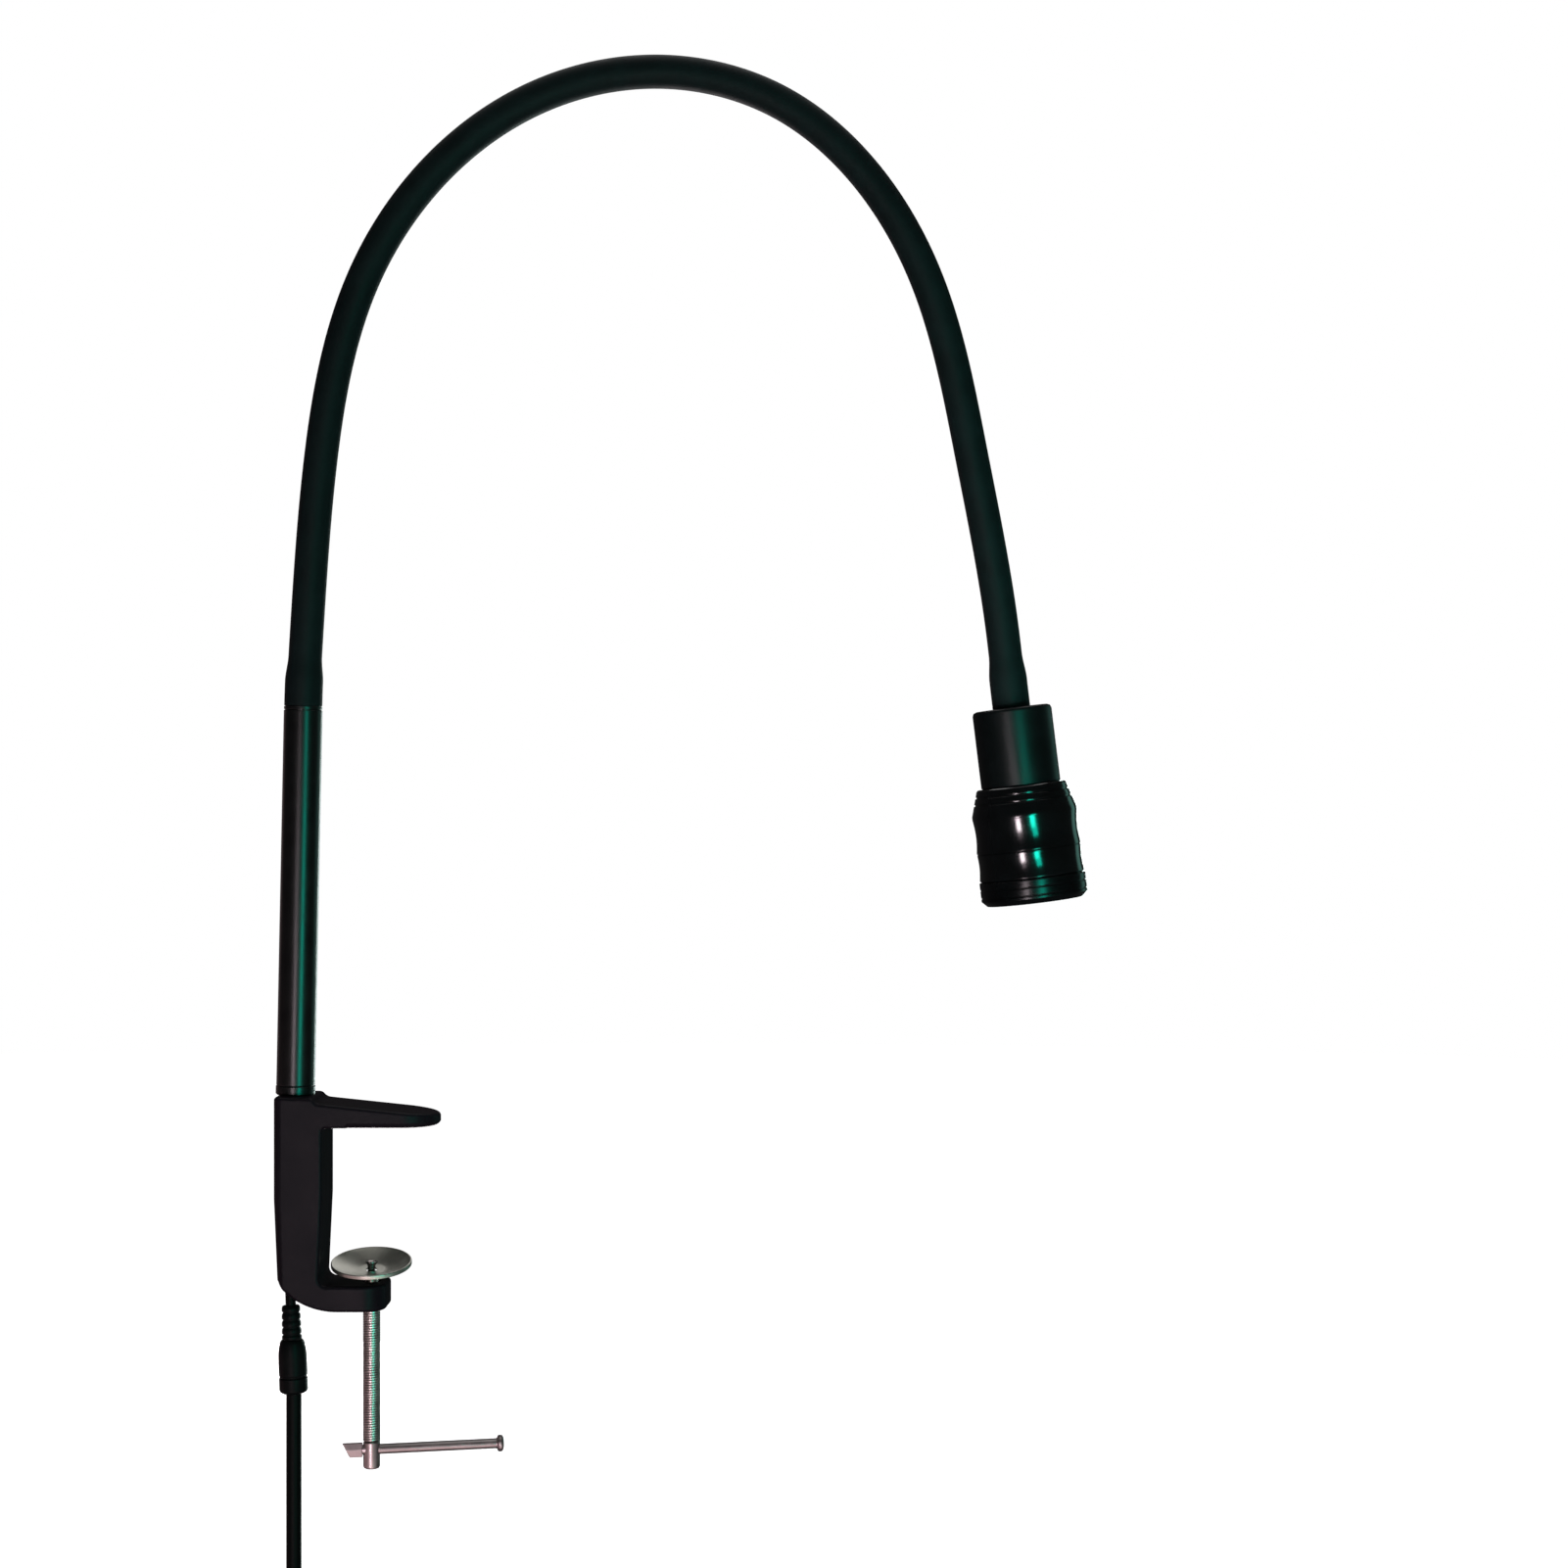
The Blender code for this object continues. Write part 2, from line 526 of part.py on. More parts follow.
def clamp_frame():
    """The C-shaped casting: rounded jaw ends, the post's socket, the lead's channel and the screw hole."""
    half = CLAMP_WIDTH / 2
    made = extruded("clamp_frame", clamp_outline(), half, CAST_BLACK)
    made.matrix_world = Matrix.Rotation(math.pi / 2, 4, "X")
    shell = bmesh.new()
    shell.from_mesh(made.data)
    bmesh.ops.dissolve_limit(shell, angle_limit=0.001, verts=shell.verts, edges=shell.edges)

    def upright(x_value, z_low, z_high):
        """The edges along the frame's height at one x, in the outline's own plane."""
        return [
            e for e in shell.edges
            if all(abs(v.co.x - x_value) < 0.00001 and z_low <= v.co.y <= z_high for v in e.verts)
            and abs(e.verts[0].co.y - e.verts[1].co.y) > 0.0001
        ]

    foot_x = CLAMP_BACK_X + CLAMP_WEB_TAPER + 0.0001
    back = [
        e for e in shell.edges
        if all(v.co.x < foot_x for v in e.verts)
        and (abs(e.verts[0].co.y - e.verts[1].co.y) > 0.0001 or e.verts[0].co.y < -0.5 * THROAT)
    ]
    rounds = (
        (back, BACK_EDGE_RADIUS, 4),
        (upright(LOWER_JAW_END_X, -1.0, 0.0), LOWER_JAW_CORNER, 5),
        (upright(JAW_TIP_X, -0.1, 0.1), half * 0.98, 7),
    )
    for edges, radius, segments in rounds:
        bmesh.ops.bevel(
            shell, geom=edges, offset=radius, offset_type="OFFSET", affect="EDGES", segments=segments,
            profile=0.5, clamp_overlap=False, material=-1,
        )
    bmesh.ops.recalc_face_normals(shell, faces=shell.faces)
    shell.to_mesh(made.data)
    shell.free()
    bevel = made.modifiers.new("cast_edges", "BEVEL")
    bevel.width = CAST_EDGE_RADIUS
    bevel.segments = 2
    bevel.limit_method = "ANGLE"
    bevel.angle_limit = math.radians(38.0)
    socket = turned(
        "post_socket", rod_profile(NIPPLE_RADIUS + HOLE_GAP, 0.01, -NIPPLE_IN_CLAMP - SEAT_GAP),
        CAST_BLACK, post_axis, SMALL_STEPS, closed=False,
    )
    hole = turned(
        "screw_hole",
        rod_profile(SCREW_FOOT_RADIUS + HOLE_GAP, -THROAT + 0.01, -THROAT - LOWER_JAW_THICKNESS - 0.01),
        CAST_BLACK, screw_axis, SMALL_STEPS, closed=False,
    )
    channel = tube(
        "lead_channel", lead_route()[:LEAD_CHANNEL_POINTS], LEAD_CHANNEL_RADIUS, CAST_BLACK, CORE_RESOLUTION,
    )
    for cutter in (socket, hole, channel):
        cut(made, as_cutter(cutter))
    return made


# The lead's route starts below the clamp, runs up its web, and follows the post's axis from its socket
LEAD_CHANNEL_POINTS = 6


def on_lead(height):
    """A point on the axis of the connector, which leans about the foot of its plug."""
    away = (height - PLUG_FOOT_Z) * math.tan(math.radians(LEAD_LEAN_DEG))
    return (LEAD_X - away, LEAD_Y, height)


def lead_route():
    """The points of the lead, from inside its boot to the lower ferrule."""
    return [
        on_lead(BOOT_TOP_Z - BOOT_LENGTH + 0.002),
        on_lead(BOOT_TOP_Z),
        on_lead(-THROAT),
        (LEAD_X - 0.0008, LEAD_Y - 0.0006, -0.048),
        (LEAD_X - 0.0002, LEAD_Y - 0.0018, -0.030),
        on_post(-NIPPLE_IN_CLAMP + 0.004),
        on_post(0.0),
        on_post(TUBE_BOTTOM + POST_PLUG_HEIGHT),
        on_post(TUBE_TOP - POST_PLUG_HEIGHT),
        on_post(SLEEVE_START + FERRULE_BODY_LENGTH - 0.002),
    ]


def post_pieces():
    """The foot ring, the nipple that holds the post, the tube and the plugs in its ends."""
    turned(
        "post_foot_ring",
        ring_profile(FOOT_RING_RADIUS, NIPPLE_RADIUS + HOLE_GAP, RING_TOP, SEAT_GAP, 0.0004),
        POST_BLACK, post_axis,
    )
    turned(
        "post_tube", ring_profile(POST_OUTER_RADIUS, POST_BORE_RADIUS, TUBE_TOP, TUBE_BOTTOM, 0.0003),
        POST_BLACK, post_axis,
    )
    nipple_top = TUBE_BOTTOM + POST_PLUG_HEIGHT
    turned(
        "post_nipple",
        ring_profile(NIPPLE_RADIUS, NIPPLE_BORE_RADIUS, nipple_top, -NIPPLE_IN_CLAMP, 0.0005),
        NICKEL, post_axis, SMALL_STEPS,
    )
    turned(
        "post_foot_plug",
        ring_profile(POST_PLUG_RADIUS, NIPPLE_RADIUS + HOLE_GAP, TUBE_BOTTOM + POST_PLUG_HEIGHT, TUBE_BOTTOM),
        BRASS, post_axis, SMALL_STEPS,
    )
    turned(
        "post_top_plug",
        ring_profile(POST_PLUG_RADIUS, FERRULE_STUD_RADIUS + HOLE_GAP, TUBE_TOP, TUBE_TOP - POST_PLUG_HEIGHT),
        BRASS, post_axis, SMALL_STEPS,
    )


def ferrule(name, parent, flange_height, body_up):
    """An end fitting of the gooseneck: a stud, a thin flange that shows as a seam, and a body inside."""
    flip = 1.0 if body_up else -1.0
    stud_end = flange_height - flip * FERRULE_STUD_LENGTH
    flange_end = flange_height + flip * FERRULE_FLANGE_HEIGHT
    body_end = flange_end + flip * (SEAT_GAP + FERRULE_BODY_LENGTH)
    outside = [
        (FERRULE_BODY_RADIUS, body_end), (FERRULE_BODY_RADIUS, flange_end),
        (FERRULE_FLANGE_RADIUS, flange_end), (FERRULE_FLANGE_RADIUS, flange_height),
        (FERRULE_STUD_RADIUS, flange_height), (FERRULE_STUD_RADIUS, stud_end),
    ]
    if not body_up:
        outside.reverse()
    inside = [(FERRULE_BORE_RADIUS, outside[-1][1]), (FERRULE_BORE_RADIUS, outside[0][1])]
    return turned(name, outside + inside, NICKEL, parent, SMALL_STEPS)


def neck_route():
    """Points of the gooseneck's centre line, from the post's ferrule to the head's, a millimetre apart."""
    start = on_post(SLEEVE_START)
    end = tuple(HEAD_PLACE + HEAD_UP * SLEEVE_END)
    route = [start] + [tuple(Vector((x, 0.0, z)) + NECK_LIFT) for x, z in NECK_POINTS] + [end]
    return smooth_path(route, tuple(POST_UP), tuple(-HEAD_UP), 0.001)


def gooseneck():
    """The gooseneck as links of one sleeve each, with a core inside.

    Each link ends in a ball, and the next one starts with a socket round it, so the neck bends at
    NECK_JOINTS places. Returns the joints' places and the directions of the neck there.
    """
    line = neck_route()
    runs = np.concatenate([[0.0], np.cumsum(np.linalg.norm(np.diff(line, axis=0), axis=1))])
    total = runs[-1]

    def at(run):
        """The point of the centre line at a run from the post."""
        return np.array([np.interp(run, runs, line[:, k]) for k in range(3)])

    def direction(run):
        """The direction of the centre line there, towards the lamp head."""
        ahead = at(min(run + 0.002, total)) - at(max(run - 0.002, 0.0))
        return ahead / np.linalg.norm(ahead)

    def stretch(first, last):
        """Runs between two places, about one ring step apart."""
        return list(np.linspace(first, last, max(2, round((last - first) / NECK_RING_STEP) + 1)))

    def end_radius(run):
        """The sleeve's radius, which grows over the ferrules at both ends."""
        near = min(run, total - run)
        share = (near - FLARE_START) / (SLEEVE_FLARE_LENGTH - FLARE_START)
        share = min(max(share, 0.0), 1.0)
        ease = share * share * (3.0 - 2.0 * share)
        return SLEEVE_END_RADIUS + (SLEEVE_RADIUS - SLEEVE_END_RADIUS) * ease

    seat_radius = FERRULE_BODY_RADIUS + HOLE_GAP
    seat_depth = FERRULE_BODY_LENGTH + SEAT_GAP
    joints = list(np.linspace(NECK_END_MARGIN, total - NECK_END_MARGIN, NECK_JOINTS))
    stops = [0.0] + joints + [total]
    for i in range(NECK_JOINTS + 1):
        first, last = stops[i], stops[i + 1]
        centre = at(first)
        carrier = axis_empty(f"neck_link_{i}", tuple(centre))
        opens_on_joint, ends_on_joint = i > 0, i < NECK_JOINTS
        begin = first + SOCKET_START if opens_on_joint else first
        places = stretch(begin, last)
        if not (opens_on_joint and ends_on_joint):
            near_ends = (FLARE_START, SLEEVE_FLARE_LENGTH)
            flares = [r for near in near_ends for r in (near, total - near) if begin < r < last]
            places = sorted(set(places + flares))
        points = [at(r) for r in places]
        radii = [end_radius(r) for r in places]
        if ends_on_joint:
            ahead = direction(last)
            for angle in (8.0, 32.0, 54.0, 74.0):
                points.append(at(last) + ahead * BALL_RADIUS * math.sin(math.radians(angle)))
                radii.append(BALL_RADIUS * math.cos(math.radians(angle)))
        sleeve = tube(
            f"gooseneck_sleeve_{i}", [tuple(p - centre) for p in points], SLEEVE_RADIUS, SLEEVE_BLACK,
            SLEEVE_RESOLUTION, carrier, radii,
        )
        bore_from = begin - 0.004
        bore_to = last + 0.004
        bore = [at(r) for r in stretch(max(bore_from, 0.0), min(bore_to, total))]
        bore[0] = bore[0] - direction(first) * (0.002 if not opens_on_joint else 0.0)
        bore[-1] = bore[-1] + direction(last) * (0.002 if not ends_on_joint else 0.006)
        cut(sleeve, as_cutter(tube(
            f"sleeve_bore_{i}", [tuple(p - centre) for p in bore], SLEEVE_BORE_RADIUS, SLEEVE_BLACK,
            CORE_RESOLUTION, carrier,
        )))
        core_first = first + CORE_JOINT_AHEAD
        core_last = last - CORE_JOINT_BACK
        if opens_on_joint:
            socket = bmesh.new()
            bmesh.ops.create_uvsphere(socket, u_segments=16, v_segments=10, radius=SOCKET_RADIUS)
            data = bpy.data.meshes.new(f"sleeve_socket_{i}")
            socket.to_mesh(data)
            socket.free()
            cut(sleeve, as_cutter(place(f"sleeve_socket_{i}", data, SLEEVE_BLACK, carrier)))
        else:
            core_first = FERRULE_BODY_LENGTH + 2 * SEAT_GAP
            seat = turned(
                "lower_ferrule_seat",
                rod_profile(seat_radius, SLEEVE_START + seat_depth, SLEEVE_START - 0.002),
                SLEEVE_BLACK, post_axis, SMALL_STEPS, closed=False,
            )
            cut(sleeve, as_cutter(seat))
        if not ends_on_joint:
            core_last = total - FERRULE_BODY_LENGTH - 2 * SEAT_GAP
            seat = turned(
                "upper_ferrule_seat",
                rod_profile(seat_radius, SLEEVE_END + seat_depth, SLEEVE_END - 0.002),
                SLEEVE_BLACK, head_axis, SMALL_STEPS, closed=False,
            )
            cut(sleeve, as_cutter(seat))
        tube(
            f"gooseneck_core_{i}", [tuple(at(r) - centre) for r in stretch(core_first, core_last)],
            CORE_RADIUS, CORE_STEEL, CORE_RESOLUTION, carrier,
        )
    print(f"gooseneck {total:.4f} m")
    for number, run in enumerate(joints, 1):
        print(f"neck joint {number}", np.round(at(run), 5).tolist(), np.round(direction(run), 5).tolist())


def lamp_neck():
    """The plain rear housing of the head, a cup that screws into the barrel."""
    spigot_end = -LAMP_NECK_LENGTH - SPIGOT_LENGTH
    bore = LAMP_NECK_BORE_RADIUS
    turned("lamp_neck", [
        (LAMP_NECK_RADIUS - 0.0008, 0.0), (LAMP_NECK_RADIUS, -0.0008), (LAMP_NECK_RADIUS, -LAMP_NECK_LENGTH),
        (SPIGOT_RADIUS, -LAMP_NECK_LENGTH), (SPIGOT_RADIUS, spigot_end), (bore, spigot_end),
        (bore, -LAMP_NECK_LEDGE_DEPTH), (bore - LAMP_NECK_LEDGE, -LAMP_NECK_LEDGE_DEPTH),
        (bore - LAMP_NECK_LEDGE, -LAMP_NECK_TOP_WALL), (FERRULE_STUD_RADIUS + HOLE_GAP, -LAMP_NECK_TOP_WALL),
        (FERRULE_STUD_RADIUS + HOLE_GAP, 0.0),
    ], SATIN_BLACK, head_axis)


BARREL_TOP = -LAMP_NECK_LENGTH - SEAT_GAP
BARREL_BOTTOM = BARREL_TOP - BARREL_LENGTH
SHELF_LOW = BARREL_TOP - SHELF_TOP - SHELF_THICKNESS


def barrel_outside():
    """The outer profile of the barrel: a ringed shoulder, a drawn-in waist and a band that dips a little."""
    def shoulder(depth):
        return BARREL_TOP_RADIUS + (BARREL_RADIUS - BARREL_TOP_RADIUS) * depth / SHOULDER_HEIGHT

    points = [(BARREL_TOP_RADIUS - 0.0004, BARREL_TOP), (shoulder(0.0006), BARREL_TOP - 0.0006)]
    for depth in SHOULDER_GROOVES:
        low = depth + GROOVE_WIDTH
        points += [
            (shoulder(depth), BARREL_TOP - depth), (shoulder(depth) - GROOVE_DEPTH, BARREL_TOP - depth),
            (shoulder(depth) - GROOVE_DEPTH, BARREL_TOP - low), (shoulder(low), BARREL_TOP - low),
        ]
    points += [(BARREL_RADIUS, BARREL_TOP - SHOULDER_HEIGHT), (BARREL_RADIUS, BARREL_TOP - WAIST_TOP)]
    waist_steps = 6
    for i in range(waist_steps + 1):
        share = i / waist_steps
        dip = WAIST_DEPTH * (0.25 + 0.75 * math.sin(math.pi * share))
        depth = WAIST_TOP + 0.0002 + share * (WAIST_BOTTOM - WAIST_TOP)
        points.append((BARREL_RADIUS - dip, BARREL_TOP - depth))
    band_top = BARREL_TOP - WAIST_BOTTOM - 0.0008
    points += [
        (BARREL_RADIUS - WAIST_DEPTH, band_top + 0.0004), (BARREL_RADIUS - 0.0002, band_top),
    ]
    for share in (0.25, 0.5, 0.75):
        dip = BAND_DIP * math.sin(math.pi * share)
        points.append((BARREL_RADIUS - dip, band_top + (BARREL_BOTTOM - band_top) * share))
    points += [(BARREL_RADIUS, BARREL_BOTTOM + 0.0005), (BARREL_RADIUS - 0.0005, BARREL_BOTTOM)]
    return points


def lamp_barrel():
    """The wide body of the head: it takes the neck, carries the emitter's board and holds the reflector."""
    spigot_end = BARREL_BOTTOM - BARREL_SPIGOT_LENGTH
    socket_end = BARREL_TOP - SPIGOT_LENGTH - SEAT_GAP
    inside = [
        (BARREL_SPIGOT_RADIUS, BARREL_BOTTOM), (BARREL_SPIGOT_RADIUS, spigot_end),
        (BARREL_BORE_RADIUS, spigot_end), (BARREL_BORE_RADIUS, SHELF_LOW), (0.0, SHELF_LOW),
    ]
    top_side = [
        (0.0, BARREL_TOP - SHELF_TOP), (UPPER_CAVITY_RADIUS, BARREL_TOP - SHELF_TOP),
        (UPPER_CAVITY_RADIUS, socket_end), (SPIGOT_RADIUS + HOLE_GAP, socket_end),
        (SPIGOT_RADIUS + HOLE_GAP, BARREL_TOP),
    ]
    made = turned("lamp_barrel", top_side + barrel_outside() + inside, GLOSS_BLACK, head_axis, closed=False)
    for side in (-1.0, 1.0):
        hole = turned(
            "wire_hole", rod_profile(WIRE_HOLE_RADIUS, 0.004, -SHELF_THICKNESS - 0.004), GLOSS_BLACK,
            head_axis, 10, closed=False,
        )
        hole.location = (side * WIRE_HOLE_OFFSET, 0.0, BARREL_TOP - SHELF_TOP)
        cut(made, as_cutter(hole))


BEZEL_TOP = BARREL_BOTTOM - SEAT_GAP
BEZEL_BOTTOM = BEZEL_TOP - BEZEL_HEIGHT
LENS_BOTTOM = BEZEL_BOTTOM + BEZEL_LIP_HEIGHT + SEAT_GAP
LENS_TOP = LENS_BOTTOM + LENS_THICKNESS


def lamp_bezel():
    """The ringed bezel that screws onto the barrel and holds the lens."""
    outside = []
    ring = BEZEL_HEIGHT / BEZEL_RINGS
    for i in range(BEZEL_RINGS):
        top = BEZEL_TOP - i * ring
        low = top - ring
        outside += [(BEZEL_RADIUS - 0.0005, top), (BEZEL_RADIUS, top - 0.0004)]
        if i < BEZEL_RINGS - 1:
            outside += [(BEZEL_RADIUS, low + 0.0005), (BEZEL_RADIUS - GROOVE_DEPTH, low + 0.0003)]
        else:
            outside += [(BEZEL_RADIUS, low + BEZEL_CHAMFER), (BEZEL_RADIUS - BEZEL_CHAMFER, low)]
    seat_radius = BARREL_SPIGOT_RADIUS + HOLE_GAP
    inside = [
        (BEZEL_LIP_RADIUS, BEZEL_BOTTOM), (BEZEL_LIP_RADIUS, BEZEL_BOTTOM + BEZEL_LIP_HEIGHT),
        (seat_radius, BEZEL_BOTTOM + BEZEL_LIP_HEIGHT), (seat_radius, BEZEL_TOP),
    ]
    turned("bezel_ring", outside + inside, GLOSS_BLACK, head_axis)


def optics():
    """The lens with its seal, the reflector, and the emitter on its board."""
    lens = rod_profile(LENS_RADIUS, LENS_TOP, LENS_BOTTOM, 0.0003)
    turned("lens_window", lens, GLASS, head_axis, closed=False)
    seal_low = LENS_TOP + SEAT_GAP
    seal_outer = BARREL_SPIGOT_RADIUS - 0.0001
    turned(
        "lens_seal", ring_profile(seal_outer, SEAL_INNER_RADIUS, seal_low + SEAL_HEIGHT, seal_low, 0.0004),
        SEAL_RUBBER, head_axis, BOWL_STEPS,
    )
    board_top = SHELF_LOW - SEAT_GAP
    board_low = board_top - LED_BOARD_THICKNESS
    turned(
        "led_board", rod_profile(LED_BOARD_RADIUS, board_top, board_low), BOARD_WHITE, head_axis, SMALL_STEPS,
        closed=False,
    )
    package_top = board_low - SEAT_GAP
    block(
        "led_package", (LED_PACKAGE_SIDE, LED_PACKAGE_SIDE, LED_PACKAGE_HEIGHT),
        (0.0, 0.0, package_top - LED_PACKAGE_HEIGHT / 2), EMITTER, head_axis,
    )
    dome_top = package_top - LED_PACKAGE_HEIGHT - SEAT_GAP
    dome = [(0.0, dome_top), (LED_DOME_RADIUS, dome_top)]
    for a in (0.4, 0.8, 1.2):
        dome.append((LED_DOME_RADIUS * math.cos(a), dome_top - LED_DOME_RADIUS * math.sin(a)))
    dome.append((0.0, dome_top - LED_DOME_RADIUS))
    turned("led_dome", dome, GLASS, head_axis, SMALL_STEPS, closed=False)
    throat = board_low - SEAT_GAP
    mouth = BARREL_BOTTOM - BARREL_SPIGOT_LENGTH
    mouth_radius = BARREL_BORE_RADIUS - HOLE_GAP
    spread = mouth_radius - REFLECTOR_WALL - REFLECTOR_THROAT_RADIUS
    bowl = []
    bowl_steps = 6
    for i in range(bowl_steps + 1):
        share = i / bowl_steps
        bowl.append((REFLECTOR_THROAT_RADIUS + spread * math.sqrt(share), throat + (mouth - throat) * share))
    outer = [(radius + REFLECTOR_WALL, height) for radius, height in bowl]
    turned("reflector", outer + bowl[::-1], MIRROR, head_axis, BOWL_STEPS)


def driver():
    """The driver board inside the neck, with its coil, and the nut that holds the gooseneck's ferrule."""
    board_top = -LAMP_NECK_LEDGE_DEPTH - SEAT_GAP
    board_low = board_top - DRIVER_BOARD_THICKNESS
    turned(
        "driver_board", rod_profile(LAMP_NECK_BORE_RADIUS - HOLE_GAP, board_top, board_low), BOARD_GREEN,
        head_axis, SMALL_STEPS, closed=False,
    )
    coil_top = board_low - SEAT_GAP
    turned(
        "driver_coil", rod_profile(DRIVER_COIL_RADIUS, coil_top, coil_top - DRIVER_COIL_HEIGHT, 0.0005),
        SEAL_RUBBER, head_axis, SMALL_STEPS, closed=False,
    )
    nut_top = -LAMP_NECK_TOP_WALL - SEAT_GAP
    nut_bore = (FERRULE_STUD_RADIUS + HOLE_GAP) / math.cos(math.pi / 6)
    turned(
        "ferrule_nut",
        ring_profile(FERRULE_NUT_RADIUS, nut_bore, nut_top, nut_top - FERRULE_NUT_HEIGHT),
        NICKEL, head_axis, 6,
    )


def clamp_screw():
    """The clamp screw with its cross hole, and the flared rivet in its nose."""
    nose_top = PAD_HUB_Z - PAD_THICKNESS / 2 - PAD_SWING_ROOM
    nose_low = nose_top - SCREW_NOSE_LENGTH
    foot_top = SCREW_BOTTOM_Z + SCREW_FOOT_HEIGHT
    rivet_hole = RIVET_RADIUS + HOLE_GAP
    rivet_low = nose_top - RIVET_DEPTH
    screw = turned("clamp_spindle", [
        (rivet_hole, nose_top), (SCREW_NOSE_RADIUS, nose_top), (SCREW_NOSE_RADIUS, nose_low),
        (SCREW_RADIUS, nose_low - 0.0008), (SCREW_RADIUS, foot_top), (SCREW_FOOT_RADIUS, foot_top - 0.0003),
        (SCREW_FOOT_RADIUS, SCREW_BOTTOM_Z + 0.0008), (SCREW_FOOT_RADIUS - 0.0010, SCREW_BOTTOM_Z),
        (0.0, SCREW_BOTTOM_Z), (0.0, rivet_low - SEAT_GAP), (rivet_hole, rivet_low - SEAT_GAP),
    ], NICKEL, screw_axis, SMALL_STEPS)
    hole = turned(
        "bar_hole", rod_profile(BAR_RADIUS + HOLE_GAP, 0.008, -0.008), NICKEL, bar_axis, 14, closed=False,
    )
    hole.rotation_euler = (0.0, math.pi / 2, 0.0)
    cut(screw, as_cutter(hole))
    flare_top = PAD_HUB_Z + RIVET_STAND
    turned("pad_rivet", [
        (0.0, flare_top - 0.0007), (RIVET_FLARE_RADIUS - 0.0008, flare_top),
        (RIVET_FLARE_RADIUS, flare_top - 0.0003), (RIVET_RADIUS, flare_top - RIVET_FLARE_HEIGHT),
        (RIVET_RADIUS, rivet_low), (0.0, rivet_low),
    ], NICKEL, screw_axis, SMALL_STEPS, closed=False)


def pressure_pad():
    """The dished disc that tilts on the rivet."""
    half = PAD_THICKNESS / 2
    top = []
    dish_steps = 4
    for i in range(dish_steps + 1):
        share = i / dish_steps
        radius = PAD_HUB_RADIUS + (PAD_RADIUS - 0.0008 - PAD_HUB_RADIUS) * share
        top.append((radius, half + PAD_DISH * share ** 1.25))
    under = [(radius, height - PAD_THICKNESS) for radius, height in top]
    rim = [(PAD_RADIUS, top[-1][1] - 0.0002), (PAD_RADIUS, top[-1][1] - 0.0007)]
    turned(
        "pressure_pad",
        [(PAD_HOLE_RADIUS, half)] + top + rim + under[::-1] + [(PAD_HOLE_RADIUS, -half)],
        NICKEL, pad_pivot, BOWL_STEPS,
    )


def tommy_bar():
    """The sliding bar: a round rod with an upset head, and its other end pressed flat and cut askew."""
    flat_start = -(SCREW_FOOT_RADIUS + SEAT_GAP)
    flat_end = flat_start - BAR_FLAT_LENGTH
    head_end = BAR_REACH + BAR_HEAD_LENGTH
    profile = (
        (flat_end, BAR_RADIUS * 0.75), (flat_end + 0.0008, BAR_RADIUS), (flat_start - 0.0022, BAR_RADIUS),
        (flat_start, BAR_RADIUS), (flat_start + 0.0006, BAR_RADIUS), (BAR_REACH, BAR_RADIUS),
        (BAR_REACH + 0.0001, BAR_HEAD_RADIUS * 0.85), (BAR_REACH + 0.0006, BAR_HEAD_RADIUS),
        (head_end - 0.0008, BAR_HEAD_RADIUS), (head_end, BAR_HEAD_RADIUS * 0.8),
    )
    made = tube(
        "tommy_bar", [(x, 0.0, 0.0) for x, _ in profile], BAR_RADIUS, NICKEL, SLEEVE_RESOLUTION, bar_axis,
        [radius for _, radius in profile],
    )
    for vertex in made.data.vertices:
        if vertex.co.x < flat_start - 0.0010:
            vertex.co.y *= BAR_FLAT_THICKNESS / (2 * BAR_RADIUS)
            vertex.co.z *= BAR_FLAT_WIDTH / (2 * BAR_RADIUS)
        if vertex.co.x < flat_end + 0.0010:
            vertex.co.x += BAR_FLAT_SLANT * (0.5 - vertex.co.z / BAR_FLAT_WIDTH)


